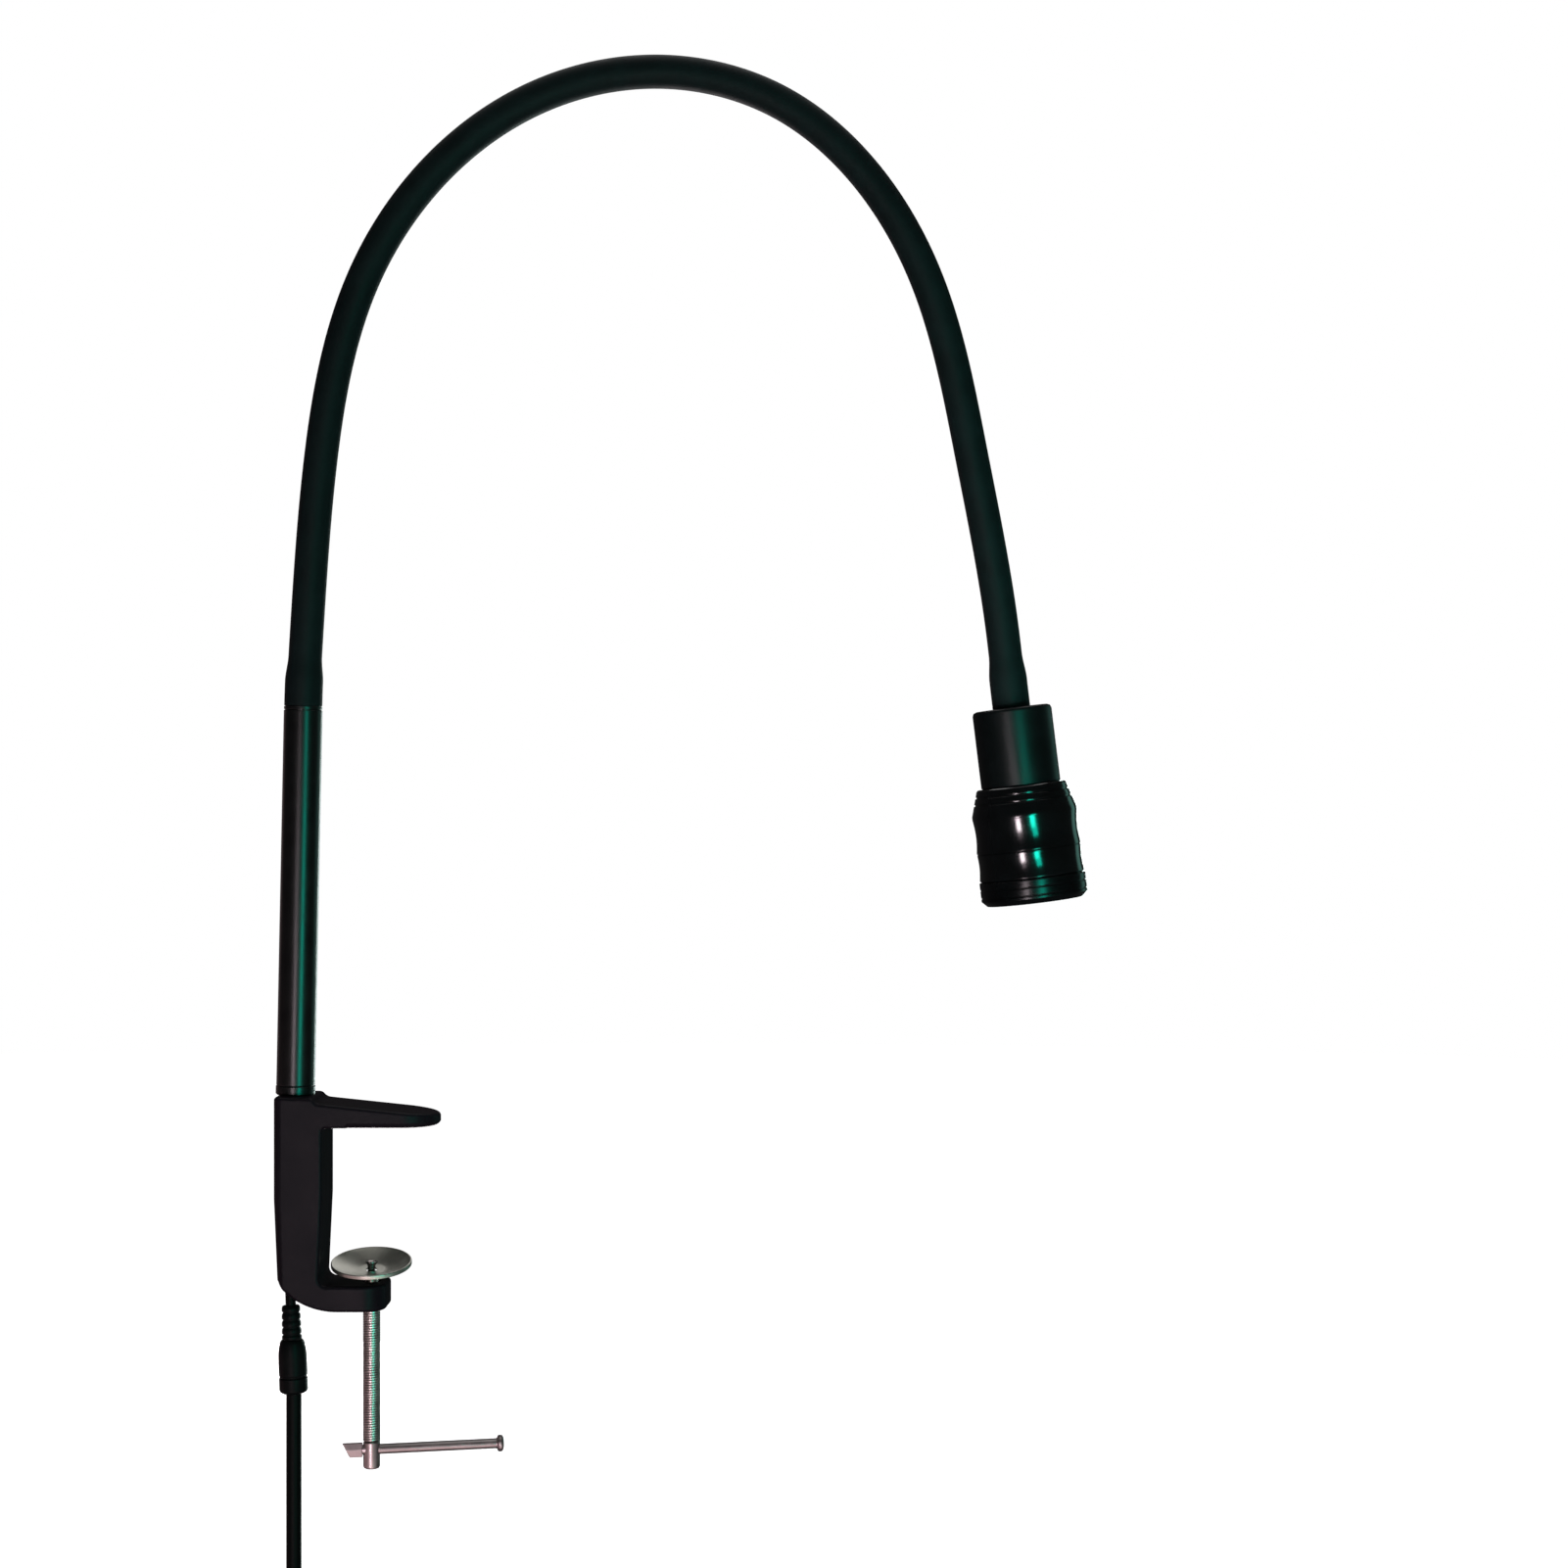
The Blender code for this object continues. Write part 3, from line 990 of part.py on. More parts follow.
def connector():
    """The ribbed boot, the in-line jack and the plug that is pushed into it."""
    boot_top = BOOT_TOP_Z - PLUG_FOOT_Z
    boot_low = boot_top - BOOT_LENGTH
    outside = [(BOOT_TOP_RADIUS - 0.0003, boot_top)]
    pitch = BOOT_LENGTH / (BOOT_RIBS + 0.5)
    for i in range(BOOT_RIBS):
        top = boot_top - i * pitch
        radius = BOOT_TOP_RADIUS + (BOOT_RADIUS - BOOT_TOP_RADIUS) * i / BOOT_RIBS
        outside += [
            (radius, top - 0.0004), (radius, top - pitch + 0.0009),
            (radius - BOOT_RIB_DEPTH, top - pitch + 0.0007), (radius - BOOT_RIB_DEPTH, top - pitch),
        ]
    outside += [(BOOT_RADIUS, boot_top - BOOT_RIBS * pitch - 0.0003), (BOOT_RADIUS, boot_low)]
    bore = LEAD_RADIUS + HOLE_GAP
    inside = [(bore, boot_low), (bore, boot_top)]
    turned("jack_boot", outside + inside, CORD_BLACK, lead_axis, FINE_PITCH_STEPS)
    jack_top = boot_low - SEAT_GAP
    jack_low = jack_top - JACK_LENGTH
    socket_top = jack_low + JACK_SOCKET_DEPTH
    shoulder = []
    for a in (0.0, 0.4, 0.8, 1.2, math.pi / 2):
        radius = BOOT_RADIUS + (JACK_RADIUS - BOOT_RADIUS) * math.sin(a)
        shoulder.append((radius, jack_top - JACK_SHOULDER * (1.0 - math.cos(a))))
    socket = [
        (JACK_RADIUS, jack_low), (JACK_SOCKET_RADIUS, jack_low), (JACK_SOCKET_RADIUS, socket_top),
        (0.0, socket_top),
    ]
    turned(
        "jack_body", [(0.0, jack_top)] + shoulder + socket, CORD_BLACK, lead_axis, SMALL_STEPS, closed=False,
    )
    plug_top = jack_low - SEAT_GAP
    plug_low = plug_top - PLUG_LENGTH
    turned("dc_plug", [
        (0.0, plug_top), (JACK_RADIUS, plug_top), (JACK_RADIUS, plug_low + PLUG_CHAMFER),
        (JACK_RADIUS - PLUG_CHAMFER, plug_low), (0.0, plug_low),
    ], CORD_BLACK, lead_axis, SMALL_STEPS, closed=False)
    tip_low = plug_top + SEAT_GAP
    turned(
        "dc_plug_tip",
        ring_profile(PLUG_TIP_RADIUS, PLUG_TIP_BORE_RADIUS, tip_low + PLUG_TIP_LENGTH, tip_low, 0.0002),
        NICKEL, lead_axis, FINE_PITCH_STEPS,
    )


def coil_facts():
    """The sizes of the hanging coil that follow from its turns: outer radius, first angle and height.

    The cord bends off its straight drop on an arc of COIL_BEND_RADIUS and meets the outer turn there.
    """
    outer = COIL_INNER_RADIUS + COIL_PITCH * COIL_WHOLE_TURNS / 2
    for _ in range(6):
        lean = math.acos(COIL_BEND_RADIUS / (outer + COIL_BEND_RADIUS))
        first = math.pi / 2 - lean
        turns = COIL_WHOLE_TURNS + (math.pi / 2 - first) / (2 * math.pi)
        outer = COIL_INNER_RADIUS + COIL_PITCH * turns / 2
    centre_z = CORD_DROP_END_Z - (outer + COIL_BEND_RADIUS) * math.sin(lean)
    return outer, lean, first, turns, centre_z


def coil_points():
    """The coil's centre line: off the drop, in and out again on two layers, and a straight tail."""
    outer, lean, first, turns, centre_z = coil_facts()
    sweep = 2 * math.pi * turns
    middle = sweep / 2
    near_y = LEAD_Y
    points = [(LEAD_X, near_y, CORD_DROP_END_Z), (LEAD_X, near_y, CORD_DROP_END_Z - 2 * CORD_RADIUS)]
    drop = points[-1][2]
    centre_z -= 2 * CORD_RADIUS
    bend_steps = 5
    for i in range(1, bend_steps):
        a = lean * i / bend_steps
        across = COIL_BEND_RADIUS * (1 - math.cos(a))
        points.append((LEAD_X + across, near_y, drop - COIL_BEND_RADIUS * math.sin(a)))
    steps = round(turns * COIL_POINTS_PER_TURN)
    for i in range(steps + 1):
        turned_by = sweep * i / steps
        away = turned_by - middle
        radius = COIL_INNER_RADIUS + COIL_PITCH * abs(away) / (2 * math.pi)
        climb = min(max(away / math.pi + 0.5, 0.0), 1.0)
        layer = climb * climb * (3 - 2 * climb)
        angle = first + turned_by
        across, up = radius * math.sin(angle), radius * math.cos(angle)
        points.append((LEAD_X + across, near_y + COIL_PITCH * layer, centre_z + up))
    end = points[-1]
    points += [(end[0], end[1], end[2] - COIL_TAIL * share) for share in (0.3, 0.65, 1.0)]
    return points


def least_self_gap(points, diameter):
    """The least gap of a wound tube to itself, between stretches of it that are not neighbours."""
    line = np.array(points)
    dense = np.concatenate([np.linspace(a, b, 6, endpoint=False) for a, b in zip(line[:-1], line[1:])])
    run = np.concatenate([[0.0], np.cumsum(np.linalg.norm(np.diff(dense, axis=0), axis=1))])
    least = 1.0
    for i in range(0, len(dense), 2):
        apart = np.abs(run - run[i]) > 4 * diameter
        if apart.any():
            least = min(least, float(np.linalg.norm(dense[apart] - dense[i], axis=1).min()))
    return least - diameter


def supply_cord():
    """The supply cord: its straight drop, its hanging coil with a tie, and the plug on its far end."""
    drop_top = PLUG_FOOT_Z - SEAT_GAP
    drop_low = CORD_DROP_END_Z + SEAT_GAP
    drop = [(LEAD_X, LEAD_Y, drop_top + (drop_low - drop_top) * i / 4) for i in range(5)]
    tube("supply_cord", drop, CORD_RADIUS, CORD_BLACK, SLEEVE_RESOLUTION)
    points = coil_points()
    tube("supply_coil", points, CORD_RADIUS, CORD_BLACK, LOOP_RESOLUTION)
    gap = least_self_gap(points, 2 * CORD_RADIUS)
    length = sum(math.dist(a, b) for a, b in zip(points, points[1:]))
    print(f"coil gap to itself {gap * 1000:.2f} mm, wanted over {COIL_LEAST_GAP * 1000:.2f} mm")
    print(f"cord length {length + drop_top - drop_low:.3f} m")

    outer, _, _, _, centre_z = coil_facts()
    centre_z -= 2 * CORD_RADIUS
    inner_side = COIL_INNER_RADIUS - CORD_RADIUS - TIE_GAP
    outer_side = outer + CORD_RADIUS + TIE_GAP
    depth = COIL_PITCH + 2 * CORD_RADIUS + 2 * TIE_GAP
    coil_axis = axis_empty("coil_axis", (LEAD_X, LEAD_Y + COIL_PITCH / 2, centre_z), "Y", TIE_ANGLE_DEG)
    middle = (inner_side + outer_side) / 2
    tie_height = outer_side - inner_side + 2 * TIE_WALL
    tie = block(
        "cord_tie", (TIE_WIDTH, depth + 2 * TIE_WALL, tie_height), (0.0, 0.0, middle), TIE_BLACK, coil_axis,
    )
    cut(tie, as_cutter(block(
        "tie_loop", (2 * TIE_WIDTH, depth, outer_side - inner_side), (0.0, 0.0, middle), TIE_BLACK, coil_axis,
    )))

    tail = points[-1]
    plug_axis = axis_empty("usb_axis", (tail[0], tail[1], tail[2] - SEAT_GAP))
    block("usb_body", USB_BODY, (0.0, 0.0, -USB_BODY[2] / 2), CORD_BLACK, plug_axis, USB_BODY_EDGE)
    shell_top = -USB_BODY[2] - SEAT_GAP
    shell_middle = (0.0, 0.0, shell_top - USB_SHELL[2] / 2)
    shell = block("usb_shell", USB_SHELL, shell_middle, NICKEL, plug_axis)
    inside = (USB_SHELL[0] - 2 * USB_SHELL_WALL, USB_SHELL[1] - 2 * USB_SHELL_WALL, USB_SHELL[2] + 0.01)
    cut(shell, as_cutter(block("usb_mouth", inside, shell_middle, NICKEL, plug_axis)))
    tongue = (USB_TONGUE_THICKNESS, inside[1] - 2 * HOLE_GAP, USB_SHELL[2] - 0.001)
    tongue_x = -inside[0] / 2 + HOLE_GAP + USB_TONGUE_THICKNESS / 2
    block("usb_tongue", tongue, (tongue_x, 0.0, shell_top - tongue[2] / 2), BOARD_WHITE, plug_axis)


def main():
    clamp_frame()
    post_pieces()
    ferrule("lower_ferrule", post_axis, LOWER_FLANGE, True)
    tube("lamp_lead", lead_route(), LEAD_RADIUS, CORD_BLACK, CORE_RESOLUTION)
    gooseneck()
    ferrule("upper_ferrule", head_axis, SEAT_GAP, True)
    lamp_neck()
    driver()
    lamp_barrel()
    lamp_bezel()
    optics()
    clamp_screw()
    pressure_pad()
    tommy_bar()
    connector()
    supply_cord()


main()
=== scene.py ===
# %% [markdown]
# # A clamp-on lamp for curing resin
#
# A cast clamp grips the edge of a table. A lacquered post stands on it, a gooseneck arches over, and a turned
# lamp head hangs from its end. The solids that carry the joints come first, as a fixed frame. The pieces made
# below sit on that frame in metres, and most ride on one of its bodies, so they move when a joint moves.

# %% Load the frame
from math import acos, cos, dist, pi, radians, sin, sqrt

import bmesh
import bpy
import numpy as np
from mathutils import Matrix, Vector


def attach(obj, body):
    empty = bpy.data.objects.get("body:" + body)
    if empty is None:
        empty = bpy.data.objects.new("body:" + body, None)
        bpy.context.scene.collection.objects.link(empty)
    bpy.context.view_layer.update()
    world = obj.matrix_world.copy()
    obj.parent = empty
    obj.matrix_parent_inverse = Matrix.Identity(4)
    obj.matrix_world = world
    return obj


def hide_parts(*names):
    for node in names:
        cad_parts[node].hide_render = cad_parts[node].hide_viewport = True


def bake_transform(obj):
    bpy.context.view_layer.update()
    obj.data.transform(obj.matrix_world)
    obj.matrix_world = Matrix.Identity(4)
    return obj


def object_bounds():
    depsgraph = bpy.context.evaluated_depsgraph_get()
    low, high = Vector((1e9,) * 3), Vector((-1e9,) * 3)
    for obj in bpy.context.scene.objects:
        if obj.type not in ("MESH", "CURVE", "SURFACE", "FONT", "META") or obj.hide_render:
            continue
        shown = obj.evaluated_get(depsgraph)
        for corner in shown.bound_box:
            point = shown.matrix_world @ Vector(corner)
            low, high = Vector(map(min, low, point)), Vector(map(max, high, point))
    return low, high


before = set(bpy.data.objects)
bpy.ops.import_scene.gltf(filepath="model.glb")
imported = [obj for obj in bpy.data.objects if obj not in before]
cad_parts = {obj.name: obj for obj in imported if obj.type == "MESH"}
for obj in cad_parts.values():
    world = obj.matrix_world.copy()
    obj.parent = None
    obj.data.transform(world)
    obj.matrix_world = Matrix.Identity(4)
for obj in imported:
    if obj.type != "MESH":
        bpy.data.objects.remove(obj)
cad_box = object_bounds()
MM = 0.001
MERGE = 0.000002


def in_scene(name, data):
    """Makes an object of a camera, light, curve or mesh, and puts it in the scene."""
    made = bpy.data.objects.new(name, data)
    bpy.context.scene.collection.objects.link(made)
    return made


# %% [markdown]
# ## Camera
#
# The lamp is seen level and from its side, with the camera a little over a metre away. A long lens keeps the
# post and the head upright in the picture.

# %% Camera
lens = bpy.data.cameras.new("camera")
lens.sensor_width = 36.0
lens.lens = 64.65
camera = in_scene("camera", lens)
camera.location = (0.1684, -1.150, 0.139)
camera.rotation_euler = (radians(90.0), 0.0, 0.0)
bpy.context.scene.camera = camera
print("camera at", tuple(camera.location))

# %% [markdown]
# ## Nodes and colours
#
# Every finish below is a small node tree. One function adds a node, sets it and links it, which keeps a
# tree readable as a list of steps. Another turns the colours that a painter would pick, in sRGB, to the
# linear values that the renderer adds up.


# %% Helpers for finishes
def colour(code):
    """Turns an sRGB hex value to linear."""
    parts = [int(code[i:i + 2], 16) / 255 for i in (1, 3, 5)]
    linear = [c / 12.92 if c <= 0.04045 else ((c + 0.055) / 1.055) ** 2.4 for c in parts]
    return (*linear, 1.0)


def add(tree, kind, settings=None, sockets=None, links=None):
    """Adds a node to a tree, with its settings, its plain sockets and the outputs linked to it."""
    made = tree.nodes.new(kind)
    for name, value in (settings or {}).items():
        setattr(made, name, value)
    for name, value in (sockets or {}).items():
        made.inputs[name].default_value = value
    for name, source in (links or {}).items():
        tree.links.new(source, made.inputs[name])
    return made


def new_finish(name, shine=0.5, **plain):
    """A material with its Principled shader, whose even values are set on the shader's own sockets."""
    finish = bpy.data.materials.new(name)
    finish.use_nodes = True
    tree = finish.node_tree
    shader = tree.nodes["Principled BSDF"]
    shader.inputs["Specular IOR Level"].default_value = shine
    for socket, value in plain.items():
        shader.inputs[socket.replace("_", " ").title().replace("Ior", "IOR")].default_value = value
    return finish, tree, shader


def dress(tree, shader, patches, tints, wear, wear_span, sheen, height, relief_mm):
    """Tints a shader by its patches, sets its gloss by its wear, and raises a fine relief."""
    tint = add(tree, "ShaderNodeValToRGB", links={"Fac": patches})
    for stop, position, code in zip(tint.color_ramp.elements, (0.35, 0.65), tints):
        stop.position = position
        stop.color = colour(code)
    spans = {"From Min": wear_span[0], "From Max": wear_span[1], "To Min": sheen[0], "To Max": sheen[1]}
    gloss = add(tree, "ShaderNodeMapRange", sockets=spans, links={"Value": wear})
    depth = {"Strength": 1.0, "Distance": relief_mm * MM}
    bump = add(tree, "ShaderNodeBump", sockets=depth, links={"Height": height})
    tree.links.new(tint.outputs["Color"], shader.inputs["Base Color"])
    tree.links.new(gloss.outputs["Result"], shader.inputs["Roughness"])
    tree.links.new(bump.outputs["Normal"], shader.inputs["Normal"])


def grained(name, dark, light, smooth, rough, patch_mm, grain_mm, relief_mm, **plain):
    """A finish with soft patches of colour and gloss, and a fine grain that stands up from the surface."""
    finish, tree, shader = new_finish(name, **plain)
    point = {"Vector": add(tree, "ShaderNodeTexCoord").outputs["Object"]}
    coarse = {"Scale": 1.0 / (patch_mm * MM), "Detail": 4.0}
    patches = add(tree, "ShaderNodeTexNoise", sockets=coarse, links=point).outputs["Fac"]
    fine = {"Scale": 1.0 / (grain_mm * MM), "Detail": 2.0}
    grain = add(tree, "ShaderNodeTexNoise", sockets=fine, links=point).outputs["Fac"]
    dress(tree, shader, patches, (dark, light), patches, (0.3, 0.7), (smooth, rough), grain, relief_mm)
    return finish


TURNED_PATCH_MM = 9.0


def lathe_cut(name, dark, light, smooth, rough, place, line_mm, relief_mm, across=False, **plain):
    """A finish with the fine rings that a lathe tool leaves.

    The rings follow the height along the axis of a place, or with across the distance from that axis.
    """
    finish, tree, shader = new_finish(name, **plain)
    back = place.inverted()
    moved = {"Location": back.translation, "Rotation": back.to_euler()}
    point = {"Vector": add(tree, "ShaderNodeTexCoord").outputs["Object"]}
    local = add(tree, "ShaderNodeMapping", sockets=moved, links=point).outputs["Vector"]
    apart = add(tree, "ShaderNodeSeparateXYZ", links={"Vector": local}).outputs
    run = apart["Z"]
    if across:
        flat = add(tree, "ShaderNodeCombineXYZ", links={"X": apart["X"], "Y": apart["Y"]}).outputs["Vector"]
        length = add(tree, "ShaderNodeVectorMath", {"operation": "LENGTH"}, links={"Vector": flat})
        run = length.outputs["Value"]
    fine = {"Scale": 1.0 / (line_mm * MM), "Detail": 3.0}
    rings = add(tree, "ShaderNodeTexNoise", {"noise_dimensions": "1D"}, fine, {"W": run}).outputs["Fac"]
    coarse = {"Scale": 1.0 / (TURNED_PATCH_MM * MM), "Detail": 3.0}
    patches = add(tree, "ShaderNodeTexNoise", sockets=coarse, links=point).outputs["Fac"]
    both = add(tree, "ShaderNodeMath", {"operation": "ADD"}, links={0: rings, 1: patches}).outputs["Value"]
    dress(tree, shader, patches, (dark, light), both, (0.75, 1.25), (smooth, rough), rings, relief_mm)
    return finish


# %% [markdown]
# ## Places
#
# Most pieces sit on one of a few axes: the post, which leans about a degree, the head, which tilts seven
# degrees, the lead's connector, the loose pad, the bar, or the upright screw. A matrix for each lets a piece
# be drawn upright at the origin in millimetres and then put in its place in one step.


# %% Places of the axes
def stand(place, degrees, axis):
    """A place in metres, tilted about one axis."""
    return Matrix.Translation(place) @ Matrix.Rotation(radians(degrees), 4, axis)


POST = stand((-0.0311, 0.0, 0.0124), 1.15, "Y")
HEAD = stand((0.2613, 0.0, 0.1700), -7.0, "Y")
PLUG_FOOT = -0.1102
LEAD = stand((-0.0322, 0.0025, PLUG_FOOT), -2.0, "Y")
PAD = stand((0.0, 0.0, -0.0596), 12.0, "X")
BAR = stand((0.0, 0.0, -0.1327), 12.0, "Z")
UPRIGHT = Matrix.Identity(4)
print("post top", tuple(round(c, 4) for c in POST @ Vector((0.0, 0.0, 0.1586))))

# %% [markdown]
# ## Finishes of the metal and rubber
#
# Black is never one black. The casting has a powder coat with a faint orange peel, the post a thin gloss
# lacquer, the head is anodised after turning and keeps its tool lines, and the neck's sleeve is a dull
# rubber. They differ in how wide and how bright a lamp's reflection is, so roughness does most of the work.

# %% Black finishes
# Powder coat: melted grains leave an orange peel about a millimetre across, and a satin shine
powder_coat = grained("powder_coated_casting", "#140d13", "#171016", 0.40, 0.48, 14.0, 0.9, 0.020, shine=0.06)
# Stoved lacquer on a drawn tube: smooth and deep, with the faint waves of the drawing
lacquer = grained("stoved_lacquer_tube", "#070607", "#0a090a", 0.30, 0.36, 8.0, 3.0, 0.002, shine=0.4)
# Rubber heat-shrink: dull, with a talc-like grain of about half a millimetre that scatters the light
shrink_rubber = grained("heat_shrink_rubber", "#0d1315", "#10181a", 0.56, 0.66, 11.0, 0.55, 0.04, shine=0.10)
# Bead-blasted and anodised aluminium: satin, with the turning lines just showing
satin_anodised = lathe_cut(
    "satin_anodised_aluminium", "#09080a", "#0d0b0e", 0.34, 0.42, HEAD, 0.45, 0.004, shine=0.22,
)
# Bright-turned and anodised aluminium: a black mirror with fine rings, drawn coarser than real to show
gloss_anodised = lathe_cut(
    "gloss_anodised_aluminium", "#050405", "#080709", 0.12, 0.17, HEAD, 0.40, 0.0004, shine=0.45,
)
# The bezel's rings were cut with a coarser tool, which dulls their shine a little
ring_anodised = lathe_cut(
    "ring_turned_anodised_aluminium", "#050405", "#080709", 0.20, 0.26, HEAD, 0.40, 0.0006, shine=0.2,
)
print("black finishes", len(bpy.data.materials))

# %% [markdown]
# Nickel plate follows the steel under it. The screw's thread was rolled, which dulls it; the pad was pressed
# from sheet and then turned, so it shows rings; the bar was drawn, and is satin all over. Small plain pieces
# keep the sharpest shine.

# %% Bright finishes
# Nickel plate on plain steel: warm grey, with a soft smear that blurs reflections unevenly
nickel = grained("nickel_plated_steel", "#a39a97", "#b8afab", 0.24, 0.32, 5.0, 0.8, 0.0006, metallic=1.0)
# Nickel plate on pressed sheet: rings about the hub, a little greener than the screw
pressed_nickel = lathe_cut(
    "nickel_plated_pressing", "#bab8ae", "#cecbc1", 0.32, 0.42, PAD, 0.6, 0.0012, across=True, metallic=1.0,
)
# Nickel plate on drawn wire: the drawing die leaves it satin, with a soft even sheen
drawn_nickel = grained("nickel_plated_wire", "#b6adac", "#c6bdbb", 0.38, 0.46, 5.0, 0.9, 0.0004, metallic=1.0)
# Nickel plate on a rolled thread and its foot: rolling leaves them dull, so a lamp's reflection spreads
rolled_nickel = grained(
    "nickel_plated_thread", "#b3aaa7", "#c8bfbb", 0.34, 0.42, 5.0, 0.8, 0.0006, metallic=1.0,
)
# Turned brass of the plugs inside the post
brass = grained("turned_brass", "#b8903f", "#cda757", 0.25, 0.35, 4.0, 0.6, 0.01, metallic=1.0)
print("bright finishes", len(bpy.data.materials))

# %% [markdown]
# The cord and its connector are soft PVC: the cord is extruded, with a satin skin, and the connector is
# moulded in a spark-eroded mould, which gives it a fine even grain.

# %% Plastic and small finishes
# Extruded soft PVC: satin, with a faint drag grain
cord_pvc = grained("extruded_soft_pvc", "#070808", "#0a0a0a", 0.42, 0.52, 7.0, 0.5, 0.01, shine=0.05)
# Moulded PVC: an even fine grain from the mould's skin
moulded_pvc = grained("moulded_soft_pvc", "#0b0b0c", "#0e0e0f", 0.40, 0.50, 6.0, 0.45, 0.012, shine=0.05)
# Nitrile seal: dead matte
seal_rubber = grained("nitrile_seal", "#1a1a1a", "#222222", 0.60, 0.70, 3.0, 0.4, 0.02)
# White solder mask on an aluminium board, and green on a glass-fibre one
white_mask = grained("white_solder_mask", "#d6d7d4", "#e0e1de", 0.38, 0.48, 3.0, 0.3, 0.006)
green_mask = grained("green_solder_mask", "#123f22", "#18502c", 0.36, 0.46, 3.0, 0.3, 0.006)
# Fired ceramic of the emitter's package
ceramic = grained("fired_ceramic", "#d8d3bd", "#e4dfcb", 0.40, 0.52, 1.0, 0.2, 0.006)
# Gold flash on the plug's contacts
gold = grained("gold_flash", "#c79a45", "#dbb25c", 0.20, 0.30, 2.0, 0.3, 0.003, metallic=1.0)
# Vacuum-coated reflector: a mirror with a faint orange peel from its lacquer
mirror = grained("vacuum_coated_mirror", "#dedee2", "#e8e8ec", 0.05, 0.09, 4.0, 1.6, 0.006, metallic=1.0)
# Float glass of the window, with a trace of dust in its shine
glass = grained(
    "window_glass", "#f2f5fa", "#fbfcff", 0.01, 0.05, 5.0, 3.0, 0.001, transmission_weight=1.0, ior=1.52,
)
# Silicone over the emitter, which glows a soft violet
emitter = grained(
    "emitter_silicone", "#b9a8e6", "#cbbcf0", 0.10, 0.16, 1.0, 0.3, 0.002,
    emission_color=colour("#7a4bff"), emission_strength=1.6,
)
print("finishes", len(bpy.data.materials))

# %% [markdown]
# ## Making pieces
#
# Three helpers make most of the lamp. One turns a profile about an axis, as a lathe does. One sweeps a round
# section or another outline through a row of frames, which may grow, shrink or flatten it. The last makes the
# mesh an object: it closes the seam, turns the faces outwards, softens the corners and puts it on its body.
# The short ones beside them size a section, move a shape to its place or put several shapes together.


# %% Helpers for pieces
def turned(profile, place, steps, closed=False, climb=0.0):
    """Turns (radius, height) points in millimetres about the Z axis of a place, and may climb as a thread."""
    shape = bmesh.new()
    corners = [shape.verts.new((radius * MM, 0.0, height * MM)) for radius, height in profile]
    pairs = list(zip(corners, corners[1:]))
    if closed:
        pairs.append((corners[-1], corners[0]))
    edges = [shape.edges.new(pair) for pair in pairs]
    bmesh.ops.spin(
        shape, geom=corners + edges, cent=(0.0, 0.0, 0.0), axis=(0.0, 0.0, 1.0), angle=2 * pi,
        dvec=(0.0, 0.0, climb * MM / steps), steps=steps, use_merge=climb == 0.0,
    )
    bmesh.ops.remove_doubles(shape, verts=shape.verts, dist=MERGE)
    return placed(shape, place)


def swept(frames, sides=32, outline=None):
    """Sweeps a unit circle, or an outline of points, through a row of matrices, and closes both ends."""
    shape = bmesh.new()
    if outline:
        corners = [shape.verts.new((x, y, 0.0)) for x, y in outline]
        for pair in zip(corners, corners[1:] + corners[:1]):
            shape.edges.new(pair)
    else:
        bmesh.ops.create_circle(shape, cap_ends=False, radius=1.0, segments=sides)
    rim = list(placed(shape, frames[0]).edges)
    first = rim
    for before, after in zip(frames, frames[1:]):
        made = bmesh.ops.extrude_edge_only(shape, edges=rim)["geom"]
        rim = [item for item in made if isinstance(item, bmesh.types.BMEdge)]
        bmesh.ops.transform(shape, matrix=after @ before.inverted(), verts=made_verts(made))
    for ring in (first, rim):
        bmesh.ops.contextual_create(shape, geom=ring)
        for edge in ring:
            edge.smooth = False
    return shape


def made_verts(made):
    """The vertices among what an operator made."""
    return [item for item in made if isinstance(item, bmesh.types.BMVert)]


def round_section(radius):
    """Scales a unit circle to a radius in millimetres, for a sweep."""
    return Matrix.Diagonal((radius * MM, radius * MM, MM, 1.0))


def axes_at(point, across, up):
    """A frame at a point, from the two directions that a section is drawn along."""
    return Matrix.Translation(point) @ Matrix((across, up, across.cross(up))).transposed().to_4x4()


def placed(shape, place):
    """Moves a shape to its place."""
    bmesh.ops.transform(shape, matrix=place, verts=shape.verts)
    return shape


def soften(piece, width_mm, segments=3, angle=30.0):
    """Rounds the sharp corners of a piece."""
    bevel = piece.modifiers.new("soft_corners", "BEVEL")
    bevel.width = width_mm * MM
    bevel.segments = segments
    bevel.limit_method = "ANGLE"
    bevel.angle_limit = radians(angle)
    flat_faces(piece)


def flat_faces(piece):
    """Keeps the broad faces of a piece flat in the light."""
    piece.modifiers.new("flat_faces", "WEIGHTED_NORMAL").keep_sharp = True


def as_mesh(name, shape):
    """Turns a bmesh to mesh data."""
    mesh = bpy.data.meshes.new(name)
    shape.to_mesh(mesh)
    shape.free()
    return mesh


def finished(name, shape, finish, body=None, replaced=(), corner_mm=0.0):
    """Makes an object of a bmesh and puts it on a body, in the place of the nodes that it stands for."""
    bmesh.ops.remove_doubles(shape, verts=shape.verts, dist=MERGE)
    bmesh.ops.recalc_face_normals(shape, faces=shape.faces)
    for face in shape.faces:
        face.smooth = True
    mesh = as_mesh(name, shape)
    mesh.materials.append(finish)
    piece = in_scene(name, mesh)
    if corner_mm > 0.0:
        soften(piece, corner_mm)
    if body:
        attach(piece, body)
    if replaced:
        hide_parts(*replaced)
    print(name, len(mesh.polygons), "faces")
    return piece


